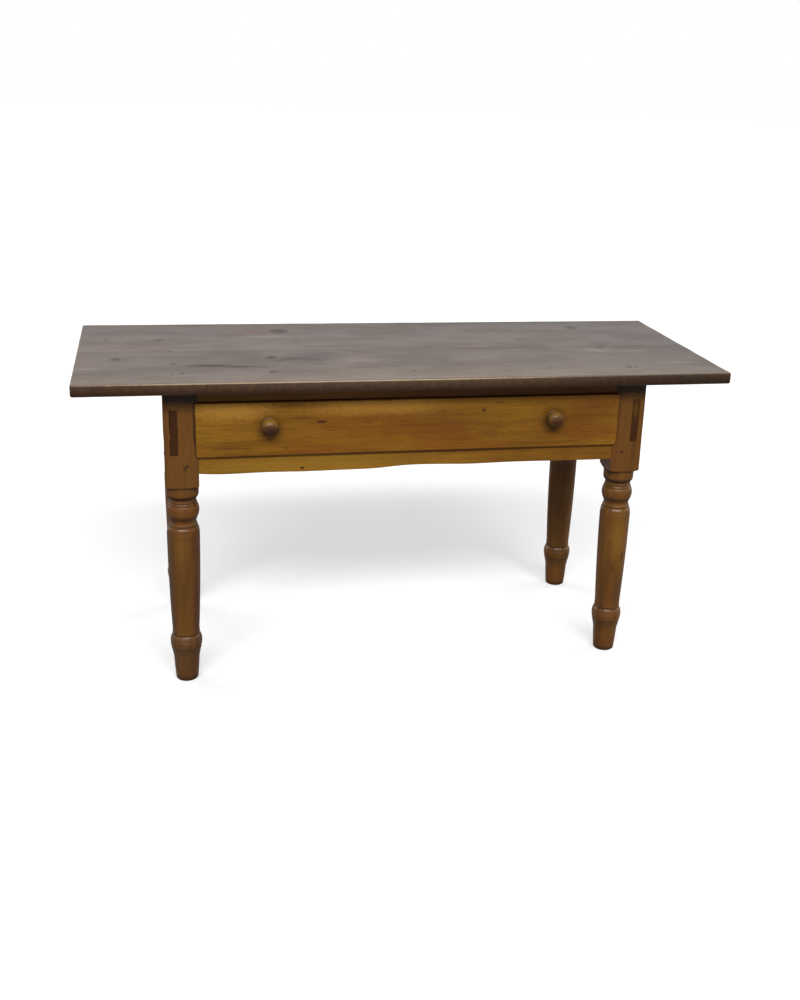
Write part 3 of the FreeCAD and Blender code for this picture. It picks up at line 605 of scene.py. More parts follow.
@dataclass(frozen=True)
class IronFinish:
    """Dull wrought iron with brown rust in patches."""

    name: str = "old iron"
    metal: Colour = srgb(58, 54, 52)
    rust: Colour = srgb(74, 44, 28)
    patches: float = 420.0
    pits: float = 2600.0
    pit_depth: float = 0.0002
    relief: float = 0.4
    edge_radius: float = 0.0004
    reach: float = 0.004

    def material(self) -> Material:
        """Make the finish.

        Returns:
            The material.
        """
        material = bpy.data.materials.new(self.name)
        g = Graph.of(material)
        place = g.add("ShaderNodeTexCoord").outputs["Object"]
        patch = g.step(g.noise(place, self.patches, 4.0, 0.65).outputs[0], 0.4, 0.6)
        wear = g.effect("wear", {"Vector": place, "Radius": self.edge_radius, "Reach": self.reach})
        pitted = g.noise(place, self.pits, 2.0).outputs[0]
        bump = g.add("ShaderNodeBump", {"Height": pitted, "Strength": self.relief,
                                        "Distance": self.pit_depth, "Normal": wear["Normal"]})
        g.shade("ShaderNodeBsdfPrincipled", {
            "Base Color": g.mix(patch, self.metal, self.rust), "Metallic": g.step(patch, 0.0, 1.0, 0.85, 0.1),
            "Roughness": g.step(patch, 0.0, 1.0, 0.5, 0.85), "Normal": bump.outputs[0]})
        return material


class Woods:
    """The finishes of the table."""

    # The top's upright faces take its dark rim colour: painted shade by facing.
    TOP = WoodFinish(
        name="dark stained plank", light=srgb(79, 59, 41), mid=srgb(61, 45, 30), dark=srgb(43, 32, 24),
        warm=srgb(80, 51, 32), worn=srgb(150, 122, 94), dirt_and_shade=srgb(18, 12, 9), end=srgb(58, 37, 22), rings=95.0,
        warp=0.05, streaks=0.3, dashes=0.25, warmth=0.45, smooth=0.31, rough=0.36, shine=0.15, varnish=0.12,
        gloss=0.16, relief=0.2, edge=0.7, edge_radius=0.003, grime_and_shade=0.8, reach=0.008, clouds=7.0,
        rim=srgb(46, 26, 8), rim_share=0.96)
    LEG = WoodFinish(
        name="shellacked leg wood", light=srgb(112, 73, 27), mid=srgb(90, 57, 19), dark=srgb(58, 34, 14),
        warm=srgb(107, 56, 19), worn=srgb(142, 100, 54), dirt_and_shade=srgb(22, 12, 7), end=srgb(54, 31, 15), rings=90.0,
        warp=0.014, streaks=0.35, dashes=0.2, warmth=0.5, smooth=0.3, rough=0.45, shine=0.08, varnish=0.3,
        gloss=0.13, edge=0.4, edge_radius=0.001, grime_and_shade=0.95, reach=0.016, clouds=6.0)
    APRON = WoodFinish(
        name="shellacked apron wood", light=srgb(110, 71, 29), mid=srgb(88, 53, 21), dark=srgb(60, 34, 15),
        warm=srgb(104, 54, 20), worn=srgb(136, 94, 50), dirt_and_shade=srgb(20, 12, 8), end=srgb(60, 33, 12), rings=160.0,
        warp=0.02, streaks=0.5, shine=0.12)
    PINE = WoodFinish(
        name="golden shellacked pine", light=srgb(138, 97, 27), mid=srgb(112, 71, 18), dark=srgb(80, 45, 14),
        warm=srgb(118, 66, 18), worn=srgb(160, 118, 54), dirt_and_shade=srgb(24, 13, 7), end=srgb(70, 42, 16), rings=90.0,
        warp=0.05, streaks=0.35, dashes=0.6, warmth=0.55, smooth=0.3, rough=0.45, shine=0.1, varnish=0.08,
        gloss=0.2, clouds=5.0)
    KNOB = WoodFinish(
        name="turned knob wood", light=srgb(108, 76, 38), mid=srgb(82, 53, 28), dark=srgb(50, 31, 19),
        warm=srgb(74, 42, 26), worn=srgb(132, 98, 56), dirt_and_shade=srgb(20, 12, 9), end=srgb(72, 46, 28), rings=420.0,
        warp=0.003, streaks=0.4, smooth=0.35, rough=0.45, shine=0.05, varnish=0.2, gloss=0.14, edge=0.25,
        edge_radius=0.0012, reach=0.014)
    PEG = WoodFinish(
        name="dark peg wood", light=srgb(70, 44, 24), mid=srgb(54, 33, 18), dark=srgb(34, 20, 12),
        warm=srgb(72, 42, 20), worn=srgb(96, 64, 36), dirt_and_shade=srgb(16, 9, 6), end=srgb(50, 30, 16), rings=900.0,
        warp=0.001, streaks=0.5, rough=0.6, edge_radius=0.0006, reach=0.004)
    RAW = WoodFinish(
        name="unfinished pine", light=srgb(168, 130, 84), mid=srgb(142, 104, 64), dark=srgb(104, 70, 40),
        warm=srgb(146, 96, 54), worn=srgb(180, 146, 100), dirt_and_shade=srgb(44, 30, 20), end=srgb(112, 78, 46),
        rings=140.0, warp=0.03, streaks=0.4, smooth=0.6, rough=0.8, shine=0.2, relief=0.4, edge=0.3)


# ---- the top
@dataclass
class TopBoard:
    """One of the two boards of the top, with eased edges, a slight hollow and set nails.

    Sizes are in metres.  side is -1 for the front board and 1 for the back one.  What is uneven
    has its height and its middle wavelength.
    """

    node: str
    side: int
    seed: int
    half_length: float = 0.765
    width: float = 0.303
    low: float = 0.733
    high: float = 0.760
    corner: float = 0.005
    upper_round: float = 0.0024
    lower_round: float = 0.006
    seam_round: float = 0.0003
    grid: float = 0.005
    nail_half: Pair = (0.0034, 0.0027)
    nail_sink: float = 0.0009
    nail_gap: float = 0.00005
    rim_width: float = 0.02
    ragged_width: float = 0.012
    nails: Sequence[Pair] = ()
    slow_dip: Pair = (0.0005, 0.33)
    fine_dip: Pair = (0.00018, 0.06)
    edge_wear: Pair = (0.45, 0.11)
    wear_limits: Pair = (0.6, 1.9)
    ragged_edge: Pair = (0.0003, 0.09)
    edge_bulge: Pair = (0.00035, 0.05)
    edge_steps: int = 5
    near_edge: Sequence[float] = (
        0.0, 0.00015, 0.00045, 0.0009, 0.0015, 0.0022, 0.003, 0.004, 0.0055, 0.0072, 0.0095)
    near_seam: Sequence[float] = (0.0, 0.0002, 0.0006, 0.0014)

    def cuts(self, axis: int) -> np.ndarray:
        """Places just inside and outside the nails' sides along X (0) or across (1)."""
        return np.array([nail[axis] + s * (self.nail_half[axis] + d)
                         for nail in self.nails for s in (-1, 1) for d in (0, 0.0001)])

    def stations(self) -> np.ndarray:
        """Places along X: close together near the ends and round the nails, and grid apart between."""
        ends = self.half_length - np.array(self.near_edge)
        count = int(2 * ends[-1] / self.grid)
        inner = np.linspace(-ends[-1], ends[-1], count + 1)[1:-1]
        return np.unique(np.round(np.concatenate([-ends, ends, inner, self.cuts(0)]), 6))

    def across(self) -> np.ndarray:
        """Distances from the seam: close together at both edges and round the nails."""
        seam = np.array(self.near_seam)
        outer = self.width - np.array(self.near_edge)
        inner = np.linspace(seam[-1], outer[-1], int(self.width / self.grid))[1:-1]
        cuts = self.side * self.cuts(1)
        return np.unique(np.round(np.concatenate([seam, outer, inner, cuts[cuts > seam[-1]]]), 6))

    def surfaces(self) -> tuple[np.ndarray, np.ndarray, np.ndarray, np.ndarray]:
        """Grid of the upper and the lower face over the same plan.

        The plan is a rectangle with rounded outer corners.  d is the distance in from its outline,
        and the upper face drops by fall(d, upper_round) and the lower one rises by
        fall(d, lower_round).  The upper face also dips by slow waves, wear and the set nails.

        Returns:
            X, Y, upper Z and lower Z of the grid, stations x across.
        """
        x, w = np.meshgrid(self.stations(), self.across(), indexing="ij")
        ends = self.half_length - np.abs(x)
        limit = self.width - fall(ends, self.corner)
        outer = self.width - w
        near = np.clip(1 - outer / (3 * self.corner), 0, 1)
        plan = np.minimum(w, limit) * (1 - near) + (limit - outer) * near
        qx = np.maximum(np.abs(x) - (self.half_length - self.corner), 0)
        qw = np.maximum(plan - (self.width - self.corner), 0)
        d = np.where((qx > 0) & (qw > 0), self.corner - np.hypot(qx, qw), np.minimum(ends, self.width - plan))
        d = np.maximum(d, 0)
        wear = 1 + wander(x, plan, *self.edge_wear, self.seed + 5)
        upper_round = self.upper_round * np.clip(wear, *self.wear_limits)
        dip = np.abs(wander(x, plan, *self.slow_dip, self.seed))
        dip = dip + np.abs(wander(x, plan, *self.fine_dip, self.seed + 1))
        upper = self.high - fall(d, upper_round) - fall(w, self.seam_round)
        upper = upper - dip * np.clip(d / self.rim_width, 0, 1) * np.clip(w / self.rim_width, 0.25, 1)
        half_x, half_y = (half + self.nail_gap for half in self.nail_half)
        for nail_x, nail_y in self.nails:
            sunk = (np.abs(x - nail_x) < half_x) & (np.abs(w - abs(nail_y)) < half_y)
            upper = np.where(sunk, self.high - self.nail_sink, upper)
        lower = self.low + fall(d, self.lower_round) + fall(w, self.seam_round)
        ragged = wander(x, upper, *self.ragged_edge, self.seed + 2) + self.ragged_edge[0]
        plan = plan - np.clip(ragged, 0, None) * np.clip(1 - outer / self.ragged_width, 0, 1)
        return x, self.side * plan, upper, lower

    def build(self, material: Material) -> None:
        """Join the two faces round the edges and dress the board.

        Args:
            material: Finish of the board.
        """
        x, y, upper, lower = self.surfaces()
        rows, columns = x.shape
        top = np.arange(rows * columns).reshape(rows, columns)
        bottom = top + rows * columns
        steps = self.edge_steps
        shares = np.linspace(0, 1, steps + 2)[1:-1]
        outer_x, outer_y = (np.repeat(grid[:, -1:], steps, axis=1) for grid in (x, y))
        outer_z = upper[:, -1:] * (1 - shares) + lower[:, -1:] * shares
        bulge = wander(outer_x, outer_z, *self.edge_bulge, self.seed + 3)
        outer_y = outer_y - self.side * np.clip(bulge, 0, None)
        edge = 2 * rows * columns + np.arange(rows * steps).reshape(rows, steps)
        sheets = ((x, y, upper), (x, y, lower), (outer_x, outer_y, outer_z))
        points = np.concatenate([np.stack(sheet, -1).reshape(-1, 3) for sheet in sheets])
        loop = np.concatenate([top, edge, bottom[:, ::-1]], axis=1)
        after = np.roll(loop, -1, axis=1)
        quads = np.stack([loop[:-1], after[:-1], after[1:], loop[1:]], axis=-1).reshape(-1, 4)
        left = np.stack([top[0, :-1], bottom[0, :-1], bottom[0, 1:], top[0, 1:]], axis=-1)
        right = np.stack([top[-1, :-1], top[-1, 1:], bottom[-1, 1:], bottom[-1, :-1]], axis=-1)
        rims = [[top[0, -1], bottom[0, -1], *edge[0, ::-1]], [top[-1, -1], *edge[-1], bottom[-1, -1]]]
        faces = np.concatenate([quads, left, right])
        if self.side > 0:
            faces = faces[:, ::-1]
            rims = [rim[::-1] for rim in rims]
        all_faces = faces.tolist() + [[int(i) for i in rim] for rim in rims]
        piece = add_object(f"dressed_{self.node}", points, all_faces)
        settle(piece, Body.FRAME, material, self.node)


@dataclass
class TableTop:
    """The two boards of the top and what shows on them."""

    nails: Sequence[Pair] = (
        *((x, y) for y in (-0.222, 0.2275) for x in (-0.33, 0.0, 0.33)),
        *((x, y) for x in (-0.55, 0.55) for y in (-0.222, 0.0, 0.222)))
    pith_side: float = 0.16
    seed_gain: float = 0.7
    spots: Sequence[Spot] = (
        *on_top(Mark.KNOT, 0.4, 0.5, (-270, 213, 22, 24, 0.75), (532, 221, 15, 18, 0.65),
                (532, -17, 9, 14, 0.45), (532, -222, 9, 12, 0.5), (-675, -72, 10, 14, 0.6),
                (-317, -75, 14, 16, 0.7), (-325, -207, 10, 9, 0.65), (-575, 118, 14, 10, 0.35),
                (-546, -122, 8, 12, 0.4), (-528, -212, 6, 7, 0.5), (-700, 118, 6, 14, 0.3),
                (85, 13, 9, 8, 0.35), (345, 88, 10, 12, 0.35)),
        *on_top(Mark.KNOT, 0.5, 0.7, (-285, -98, 34, 14, 0.5, -0.5)),
        *on_top(Mark.KNOT, 0.8, 0.5, (-460, -146, 42, 8, 0.7, 0.08)),
        *on_top(Mark.KNOT, 0.8, 0.7, (-400, -158, 52, 8, 0.6, 0.12)),
        *on_top(Mark.STAIN, 0.5, 0.6, (-205, -75, 72, 46, 0.7)),
        *on_top(Mark.STAIN, 0.6, 0.7, (-440, -150, 100, 17, 0.5, 0.1)),
        *on_top(Mark.STAIN, 0.5, 0.8, (-430, -90, 110, 80, 0.3), (-340, 235, 70, 40, 0.4)),
        *on_top(Mark.STAIN, 0.6, 0.9, (100, -60, 30, 90, 0.3), (380, 20, 150, 60, 0.35),
                (60, -20, 170, 70, 0.3)),
        *on_top(Mark.STAIN, 0.5, 0.9, (560, 190, 120, 60, 0.35)),
        *on_top(Mark.STAIN, 0.4, 0.9, (0, 330, 1300, 170, 0.6), (760, 60, 260, 300, 0.5)),
        *on_top(Mark.RUST, 0.6, 0.8, (-340, 208, 62, 24, 0.6)),
        *on_top(Mark.RUST, 0.6, 0.9, (-640, 40, 70, 60, 0.2)),
        *on_top(Mark.RUB, 0.6, 0.8, (-290, 150, 60, 14, 0.3), (-190, 60, 36, 12, 0.3),
                (510, -50, 26, 12, 0.35, 0.3), (615, -57, 40, 10, 0.3), (675, -187, 52, 9, 0.35),
                (-735, -162, 24, 9, 0.4), (-120, -110, 60, 30, 0.25, 0.3)),
        *marks(Mark.RUB, 0.6, 0.9, (0, -300, 764, 900, 70, 16, 0.35)),
        *marks(Mark.BARE, 0.3, 0.4, (-190, -303, 759.4, 540, 2.6, 2.0, 0.75)),
        *marks(Mark.GRIME_AND_SHADE, 0.4, 0.4, (-60, -296.5, 760, 640, 2.6, 6, 0.6)),
        *marks(Mark.GRIME_AND_SHADE, 0.3, 0.8, (620, -303, 745, 260, 8, 20, 0.35)))

    def build(self) -> None:
        """Build both boards, each of its own wood and with the nails that are in it."""
        boards = (("top_board_front", -1, 11, 0.60), ("top_board_back", 1, 29, 0.66))
        for node, side, seed, pith_height in boards:
            nails = [nail for nail in self.nails if nail[1] * side >= 0]
            pith = (0.0, side * self.pith_side, pith_height)
            material = Woods.TOP.material(node, Grain.ALONG_X, pith, seed * self.seed_gain, self.spots)
            TopBoard(node, side, seed, nails=nails).build(material)


# ---- the legs
@dataclass(frozen=True)
class Reach:
    """A stretch of turning that ends at a height with a radius, its middle standing out by swell."""

    height: float
    radius: float
    swell: float = 0.0
    step: float = 1.2


@dataclass
class Leg:
    """A leg turned below and square above, with the mortise of the end apron's tenon in its face.

    Sizes are in millimetres.
    """

    node: str
    side: int
    end: int
    seed: int
    post: float = 76.0
    arris: float = 1.7
    arris_wear: Pair = (0.5, 0.09)
    wear_limits: Pair = (0.55, 2.2)
    hand: Pair = (0.12, 0.12)
    pith_shift: Pair = (0.004, 0.075)
    seed_gain: float = 1.3
    crease: float = 32.0
    centre: Pair = (535.0, 208.0)
    top: float = 733.0
    mortise_x: Pair = (7.0, 23.0)
    mortise_z: Pair = (577.5, 684.0)
    mortise_gap: float = 0.35
    mortise_depth: float = 3.0
    gap_shares: Pair = (1.4, 0.6)
    foot_radius: float = 23.2
    square_from: float = 506.0
    square_step: float = 5.0
    column_step: float = 3.75
    corner_columns: Sequence[float] = (-2.4, -1.7, -1.0, -0.35, 0.35, 1.0, 1.7, 2.4)
    hand_fade: float = 40.0
    near: float = 0.02
    turning: Sequence[Reach] = tuple(Reach(*row) for row in (
        (3.4, 26.2, 0.55, 0.4), (56, 30.0, 0.4, 2.5), (66, 31.4, 0.0, 1.0), (74.4, 33.2, 0.15, 0.7),
        (75.4, 32.7, 0.0, 0.3), (84.4, 35.6, 0.4, 0.6), (85.4, 35.1, 0.0, 0.3), (101, 37.3, 0.7),
        (105, 37.2, 0.2, 0.4), (110, 36.2, 0.12, 0.4), (110.7, 35.6, 0.0, 0.3), (112, 35.6, 0.0, 0.4),
        (119.5, 31.7, 0.25, 0.4), (121.5, 31.4, 0.0, 0.5), (125, 32.3, 0.1, 0.5), (137, 31.8, -0.2, 1.6),
        (374, 38.0, 1.3, 3.0), (383, 37.4, 0.4, 0.5), (391.3, 36.2, 0.2, 0.5), (395.5, 33.8, 0.14, 0.35),
        (400.5, 33.2, 0.0, 0.4), (406.5, 30.7, 0.15, 0.4), (412, 31.0, -0.1, 0.5), (417.5, 33.5, 0.3, 0.6),
        (445, 36.6, 2.6, 1.0), (449.5, 34.5, 0.1, 0.35), (451.7, 34.2, 0.0, 0.4), (455.7, 32.3, 0.08, 0.35),
        (458.5, 32.2, 0.0, 0.4), (462.5, 30.9, 0.12, 0.35), (466.0, 31.6, 0.0, 0.4), (470, 35.8, 0.6, 0.4),
        (481, 37.5, 0.7, 0.8), (494.4, 37.5, 0.15, 1.5), (495, 37.0, 0.0, 0.3), (501.5, 53.8, 0.0, 0.22)))
    scores: Sequence[Point] = (
        (105.0, 0.6, 0.3), (399.5, 0.8, 0.6), (450.8, 0.8, 0.6), (457.0, 0.8, 0.6))

    def profile(self) -> tuple[np.ndarray, np.ndarray]:
        """Heights and radii down the turning and up the square.

        Along each stretch the radius is the straight line between its ends plus
        4 swell t (1 - t), and a score takes depth (1 - |z - z0| / half width) away.

        Returns:
            Heights and radii.
        """
        z, r = [0.0], [self.foot_radius]
        for reach in self.turning:
            count = max(1, math.ceil((reach.height - z[-1]) / reach.step))
            t = np.linspace(0, 1, count + 1)[1:]
            z += (z[-1] + t * (reach.height - z[-1])).tolist()
            r += (r[-1] + t * (reach.radius - r[-1]) + 4 * reach.swell * t * (1 - t)).tolist()
        for middle, half, _ in self.scores:
            cuts = [middle - half, middle - half / 2, middle, middle + half / 2, middle + half]
            heights, radii = np.array(z + cuts), np.array(r + np.interp(cuts, z, r).tolist())
            order = np.argsort(heights)
            z, r = heights[order].tolist(), radii[order].tolist()
        low, high = self.mortise_z
        gap = self.mortise_gap
        cuts = [low - gap, low - gap + 0.05, high + gap, high + gap - 0.05]
        even = np.arange(self.square_from, self.top - 1, self.square_step)
        square = np.unique(np.concatenate([even, cuts, [self.top - 0.6, self.top]]))
        heights = np.concatenate([z, square])
        radii = np.concatenate([r, np.full(len(square), self.post)])
        for middle, half, depth in self.scores:
            radii = radii - depth * np.clip(1 - np.abs(heights - middle) / half, 0, 1)
        apart = np.concatenate([[True], np.diff(heights) > 0.001])
        return heights[apart], radii[apart]

    def mortise(self) -> Pair:
        """Sides of the mortise from the leg's axis, lower first, with the gap round the tenon."""
        a, b = sorted(self.side * edge for edge in self.mortise_x)
        return a - self.mortise_gap * self.gap_shares[0], b + self.mortise_gap * self.gap_shares[1]

    def angles(self) -> np.ndarray:
        """Directions of the columns: even steps, and more at the corners and the mortise's sides."""
        even = np.arange(0, 360, self.column_step)
        corners = [45 + 90 * k + d for k in range(4) for d in self.corner_columns]
        half = self.post / 2
        a, b = self.mortise()
        sides = [math.degrees(math.atan2(self.end * half, x)) % 360 for x in (a, a + 0.05, b - 0.05, b)]
        return np.radians(np.unique(np.round(np.concatenate([even, corners, sides]), 4)))

    def square(self, angle: np.ndarray, arris: np.ndarray) -> np.ndarray:
        """Radius of the rounded square in a direction.

        With c >= s the direction's shares folded into one eighth turn, the flat face gives
        half / c, and the corner k (c + s) + sqrt(k^2 (c + s)^2 - 2 k^2 + arris^2), k = half - arris.

        Args:
            angle: Directions.
            arris: Radius of the corner at each point.

        Returns:
            Radii.
        """
        half = self.post / 2
        c = np.maximum(np.abs(np.cos(angle)), np.abs(np.sin(angle)))
        s = np.minimum(np.abs(np.cos(angle)), np.abs(np.sin(angle)))
        k = half - arris
        flat = half / c
        inner = np.maximum(k**2 * (c + s) ** 2 - 2 * k**2 + arris**2, 0)
        corner = k * (c + s) + np.sqrt(inner)
        return np.where(flat * s <= k, flat, corner)

    def rings(self) -> np.ndarray:
        """Points of the leg, rows x around x 3, in metres.

        The radius is the smaller of the turning's and the square's, less slow waves of a quarter of
        a millimetre, and points within the mortise go in by its depth.
        """
        heights, radii = self.profile()
        angle, z = np.meshgrid(self.angles(), heights)
        turned = np.repeat(radii[:, None], angle.shape[1], axis=1)
        uneven = 1 + wander(z * MM, angle * 0.02, *self.arris_wear, self.seed)
        wear = self.arris * np.clip(uneven, *self.wear_limits)
        radius = np.minimum(turned, self.square(angle, wear))
        hand = wander(z * MM, np.cos(angle) * 0.04, *self.hand, self.seed + 1)
        radius = radius - np.abs(hand) * np.clip((self.top - z) / self.hand_fade, 0, 1)
        x, y = radius * np.cos(angle), radius * np.sin(angle)
        (low, high), gap, near = self.mortise(), self.mortise_gap, self.near
        beside = (x > low + near) & (x < high - near)
        level = (z > self.mortise_z[0] - gap + near) & (z < self.mortise_z[1] + gap - near)
        within = beside & level & (y * self.end > self.post / 2 - 1)
        y = np.where(within, self.end * (self.post / 2 - self.mortise_depth), y)
        points = np.stack([x + self.side * self.centre[0], y + self.end * self.centre[1], z], axis=-1)
        return points * MM

    def build(self, spots: Sequence[Spot]) -> None:
        """Build and dress the leg.

        Args:
            spots: Marks on it.
        """
        piece = add_skins(f"turned_{self.node}", [self.rings()], self.crease)
        pith = (self.side * self.centre[0] * MM + self.pith_shift[0],
                self.end * self.centre[1] * MM + self.pith_shift[1], 0.0)
        material = Woods.LEG.material(self.node, Grain.ALONG_Z, pith, self.seed * self.seed_gain, spots)
        settle(piece, Body.FRAME, material, self.node)


@dataclass
class Legs:
    """The four legs."""

    first_seed: int = 40
    seed_step: int = 7
    spots: dict[str, Sequence[Spot]] = field(default_factory=lambda: {
        "leg_front_left": (
            *knots((-512, -246, 318, 5, 8, 26, 0.35), (-528, -246, 545, 4, 6, 7, 0.5)),
            *marks(Mark.KNOT, 0.1, 0.6, (-535, -208, 260, 70, 70, 230, 0.15)),
            *marks(Mark.RUST, 0.4, 0.7, (-508, -232, 190, 9, 20, 120, 0.7),
                   (-510, -232, 350, 10, 20, 40, 0.6)),
            # Painted shade down the outer left side of the shaft.
            *marks(Mark.STAIN, 0.4, 0.8, (-570, -208, 240, 12, 40, 200, 0.5)),
            *marks(Mark.STAIN, 0.2, 0.6, (-535, -208, 40, 60, 60, 70, 0.3)),
            *marks(Mark.GOLD, 0.5, 0.8, (-542, -246, 352, 18, 20, 30, 0.15))),
        "leg_front_right": (
            *knots((552, -243, 268, 5, 8, 12, 0.45), (526, -246, 236, 3, 6, 8, 0.5),
                   (548, -238, 34, 1.6, 5, 1.8, 0.8), (539, -240, 22, 1.3, 5, 1.5, 0.8)),
            *marks(Mark.GOLD, 0.6, 0.9, (536, -246, 320, 22, 24, 60, 0.3)),
            *marks(Mark.RUST, 0.6, 0.8, (528, -246, 250, 14, 20, 16, 0.5)),
            *marks(Mark.STAIN, 0.6, 0.8, (548, -240, 165, 10, 20, 40, 0.35)),
            *marks(Mark.KNOT, 0.2, 0.5, (535, -208, 40, 60, 60, 75, 0.14))),
        # Painted shadow of the top on the upper part of the back right leg.
        "leg_back_right": marks(Mark.KNOT, 0.2, 0.6, (535, 170, 430, 70, 50, 240, 0.35))})
    # Painted shadow of the top, on the upper faces of the front legs.
    top_shadow: Sequence[float] = (0, -246, 733, 900, 34, 40, 0.85)
    # Heights, half widths and depths of bands of painted shade under the shoulders and in the grooves.
    grooves: Sequence[Point] = (
        (2, 9, 0.5), (75, 2.4, 0.4), (85, 2.6, 0.55), (110.7, 1.3, 0.35), (121, 2.2, 0.5), (399.5, 1.5, 0.5),
        (419, 5, 0.55), (450.8, 1.2, 0.55), (457, 1.2, 0.55), (462, 9, 0.2), (470.5, 4.2, 0.8), (497, 3, 0.5))

    def grime_and_shade(self, end: int) -> list[Spot]:
        """Painted shade: dark bands under the shoulders and in the grooves of the legs of one end, and the
        top's painted shadow on the front ones.
        """
        bands = ((0, end * 208, z, 4000, 400, half, depth) for z, half, depth in self.grooves)
        shade = marks(Mark.GRIME_AND_SHADE, 0.08, 0.12, self.top_shadow) if end < 0 else []
        return marks(Mark.GRIME_AND_SHADE, 0.25, 0.7, *bands) + shade

    def build(self) -> None:
        """Build the legs: the front ones from the left, then the back ones."""
        places = [(end, side) for end in (-1, 1) for side in (-1, 1)]
        for number, (end, side) in enumerate(places):
            node = f"leg_{'front' if end < 0 else 'back'}_{'left' if side < 0 else 'right'}"
            leg = Leg(node, side, end, self.first_seed + self.seed_step * number)
            leg.build([*self.spots.get(node, ()), *self.grime_and_shade(end)])


# ---- pegs and knobs
@dataclass
class Pegs:
    """Shaved pegs whose ends have crept a little out of their posts.

    Sizes are in millimetres.  Each spot is the centre of a peg's end in the post's face and the
    direction that it is driven in.
    """

    node: str
    spots: Sequence[tuple[Point, Point]]
    seed: int
    radius: float = 3.75
    length: float = 47.0
    sides: int = 8
    between: int = 3
    crease: float = 30.0
    unevenness: float = 0.05
    proud: Pair = (0.1, 0.45)

    def rings(self, spot: Point, inward: Point, rng: np.random.Generator) -> np.ndarray:
        """Points of one peg from its driven end to its crowned head.

        Around it the radius is that of a polygon with blunted corners, each side's share drawn by
        rng, and towards the head it falls by the crown.

        Args:
            spot: Centre of its end in the post's face.
            inward: Direction that it is driven in.
            rng: Source of its unevenness.

        Returns:
            Points, rows x around x 3, in metres.
        """
        count = self.sides * self.between
        angle = np.arange(count) * 2 * math.pi / count
        folded = (angle % (2 * math.pi / self.sides)) - math.pi / self.sides
        polygon = math.cos(math.pi / self.sides) / np.cos(folded)
        uneven = 1 - self.unevenness * np.repeat(rng.random(self.sides), self.between)
        proud = rng.uniform(*self.proud)
        depths = np.array([self.length, self.length - 3, 2.0, 0.3 - proud, -proud * 0.8, -proud, -proud - 0.02])
        shares = np.array([0.7, 0.98, 1.0, 1.0, 0.96, 0.86, 0.45])
        ring = self.radius * shares[:, None] * (polygon * uneven)[None, :]
        along = np.array(inward)
        up = np.array((0.0, 0.0, 1.0))
        side = np.cross(up, -along)
        around = np.cos(angle)[:, None] * side + np.sin(angle)[:, None] * up
        points = np.array(spot) + ring[..., None] * around + depths[:, None, None] * along
        return points * MM

    def build(self) -> None:
        """Build and dress the pegs of one group, in one object."""
        rng = np.random.default_rng(self.seed)
        name = f"driven_{self.node}"
        stacks = [self.rings(spot, inward, rng) for spot, inward in self.spots]
        piece = add_skins(name, stacks, self.crease)
        spot, inward = self.spots[0]
        grain = Grain.ALONG_X if abs(inward[0]) > 0.5 else Grain.ALONG_Y
        material = Woods.PEG.material(name, grain, tuple(c * MM for c in spot), self.seed)
        settle(piece, Body.FRAME, material, self.node)

    @classmethod
    def groups(cls) -> list["Pegs"]:
        """The three groups of pegs."""
        ways = (-1, 1)
        front = [((s * 523.0, -246.0, 551.0), (0.0, 1.0, 0.0)) for s in ways]
        back = [((s * 523.0, 246.0, z), (0.0, -1.0, 0.0)) for s in ways for z in (609.5, 652.0)]
        ends = [((s * 573.0, e * 208.0, z), (-s * 1.0, 0.0, 0.0))
                for s in ways for e in ways for z in (593.5, 668.0)]
        return [cls("front_rail_pegs", front, 3), cls("back_apron_pegs", back, 4),
                cls("end_apron_pegs", ends, 5)]


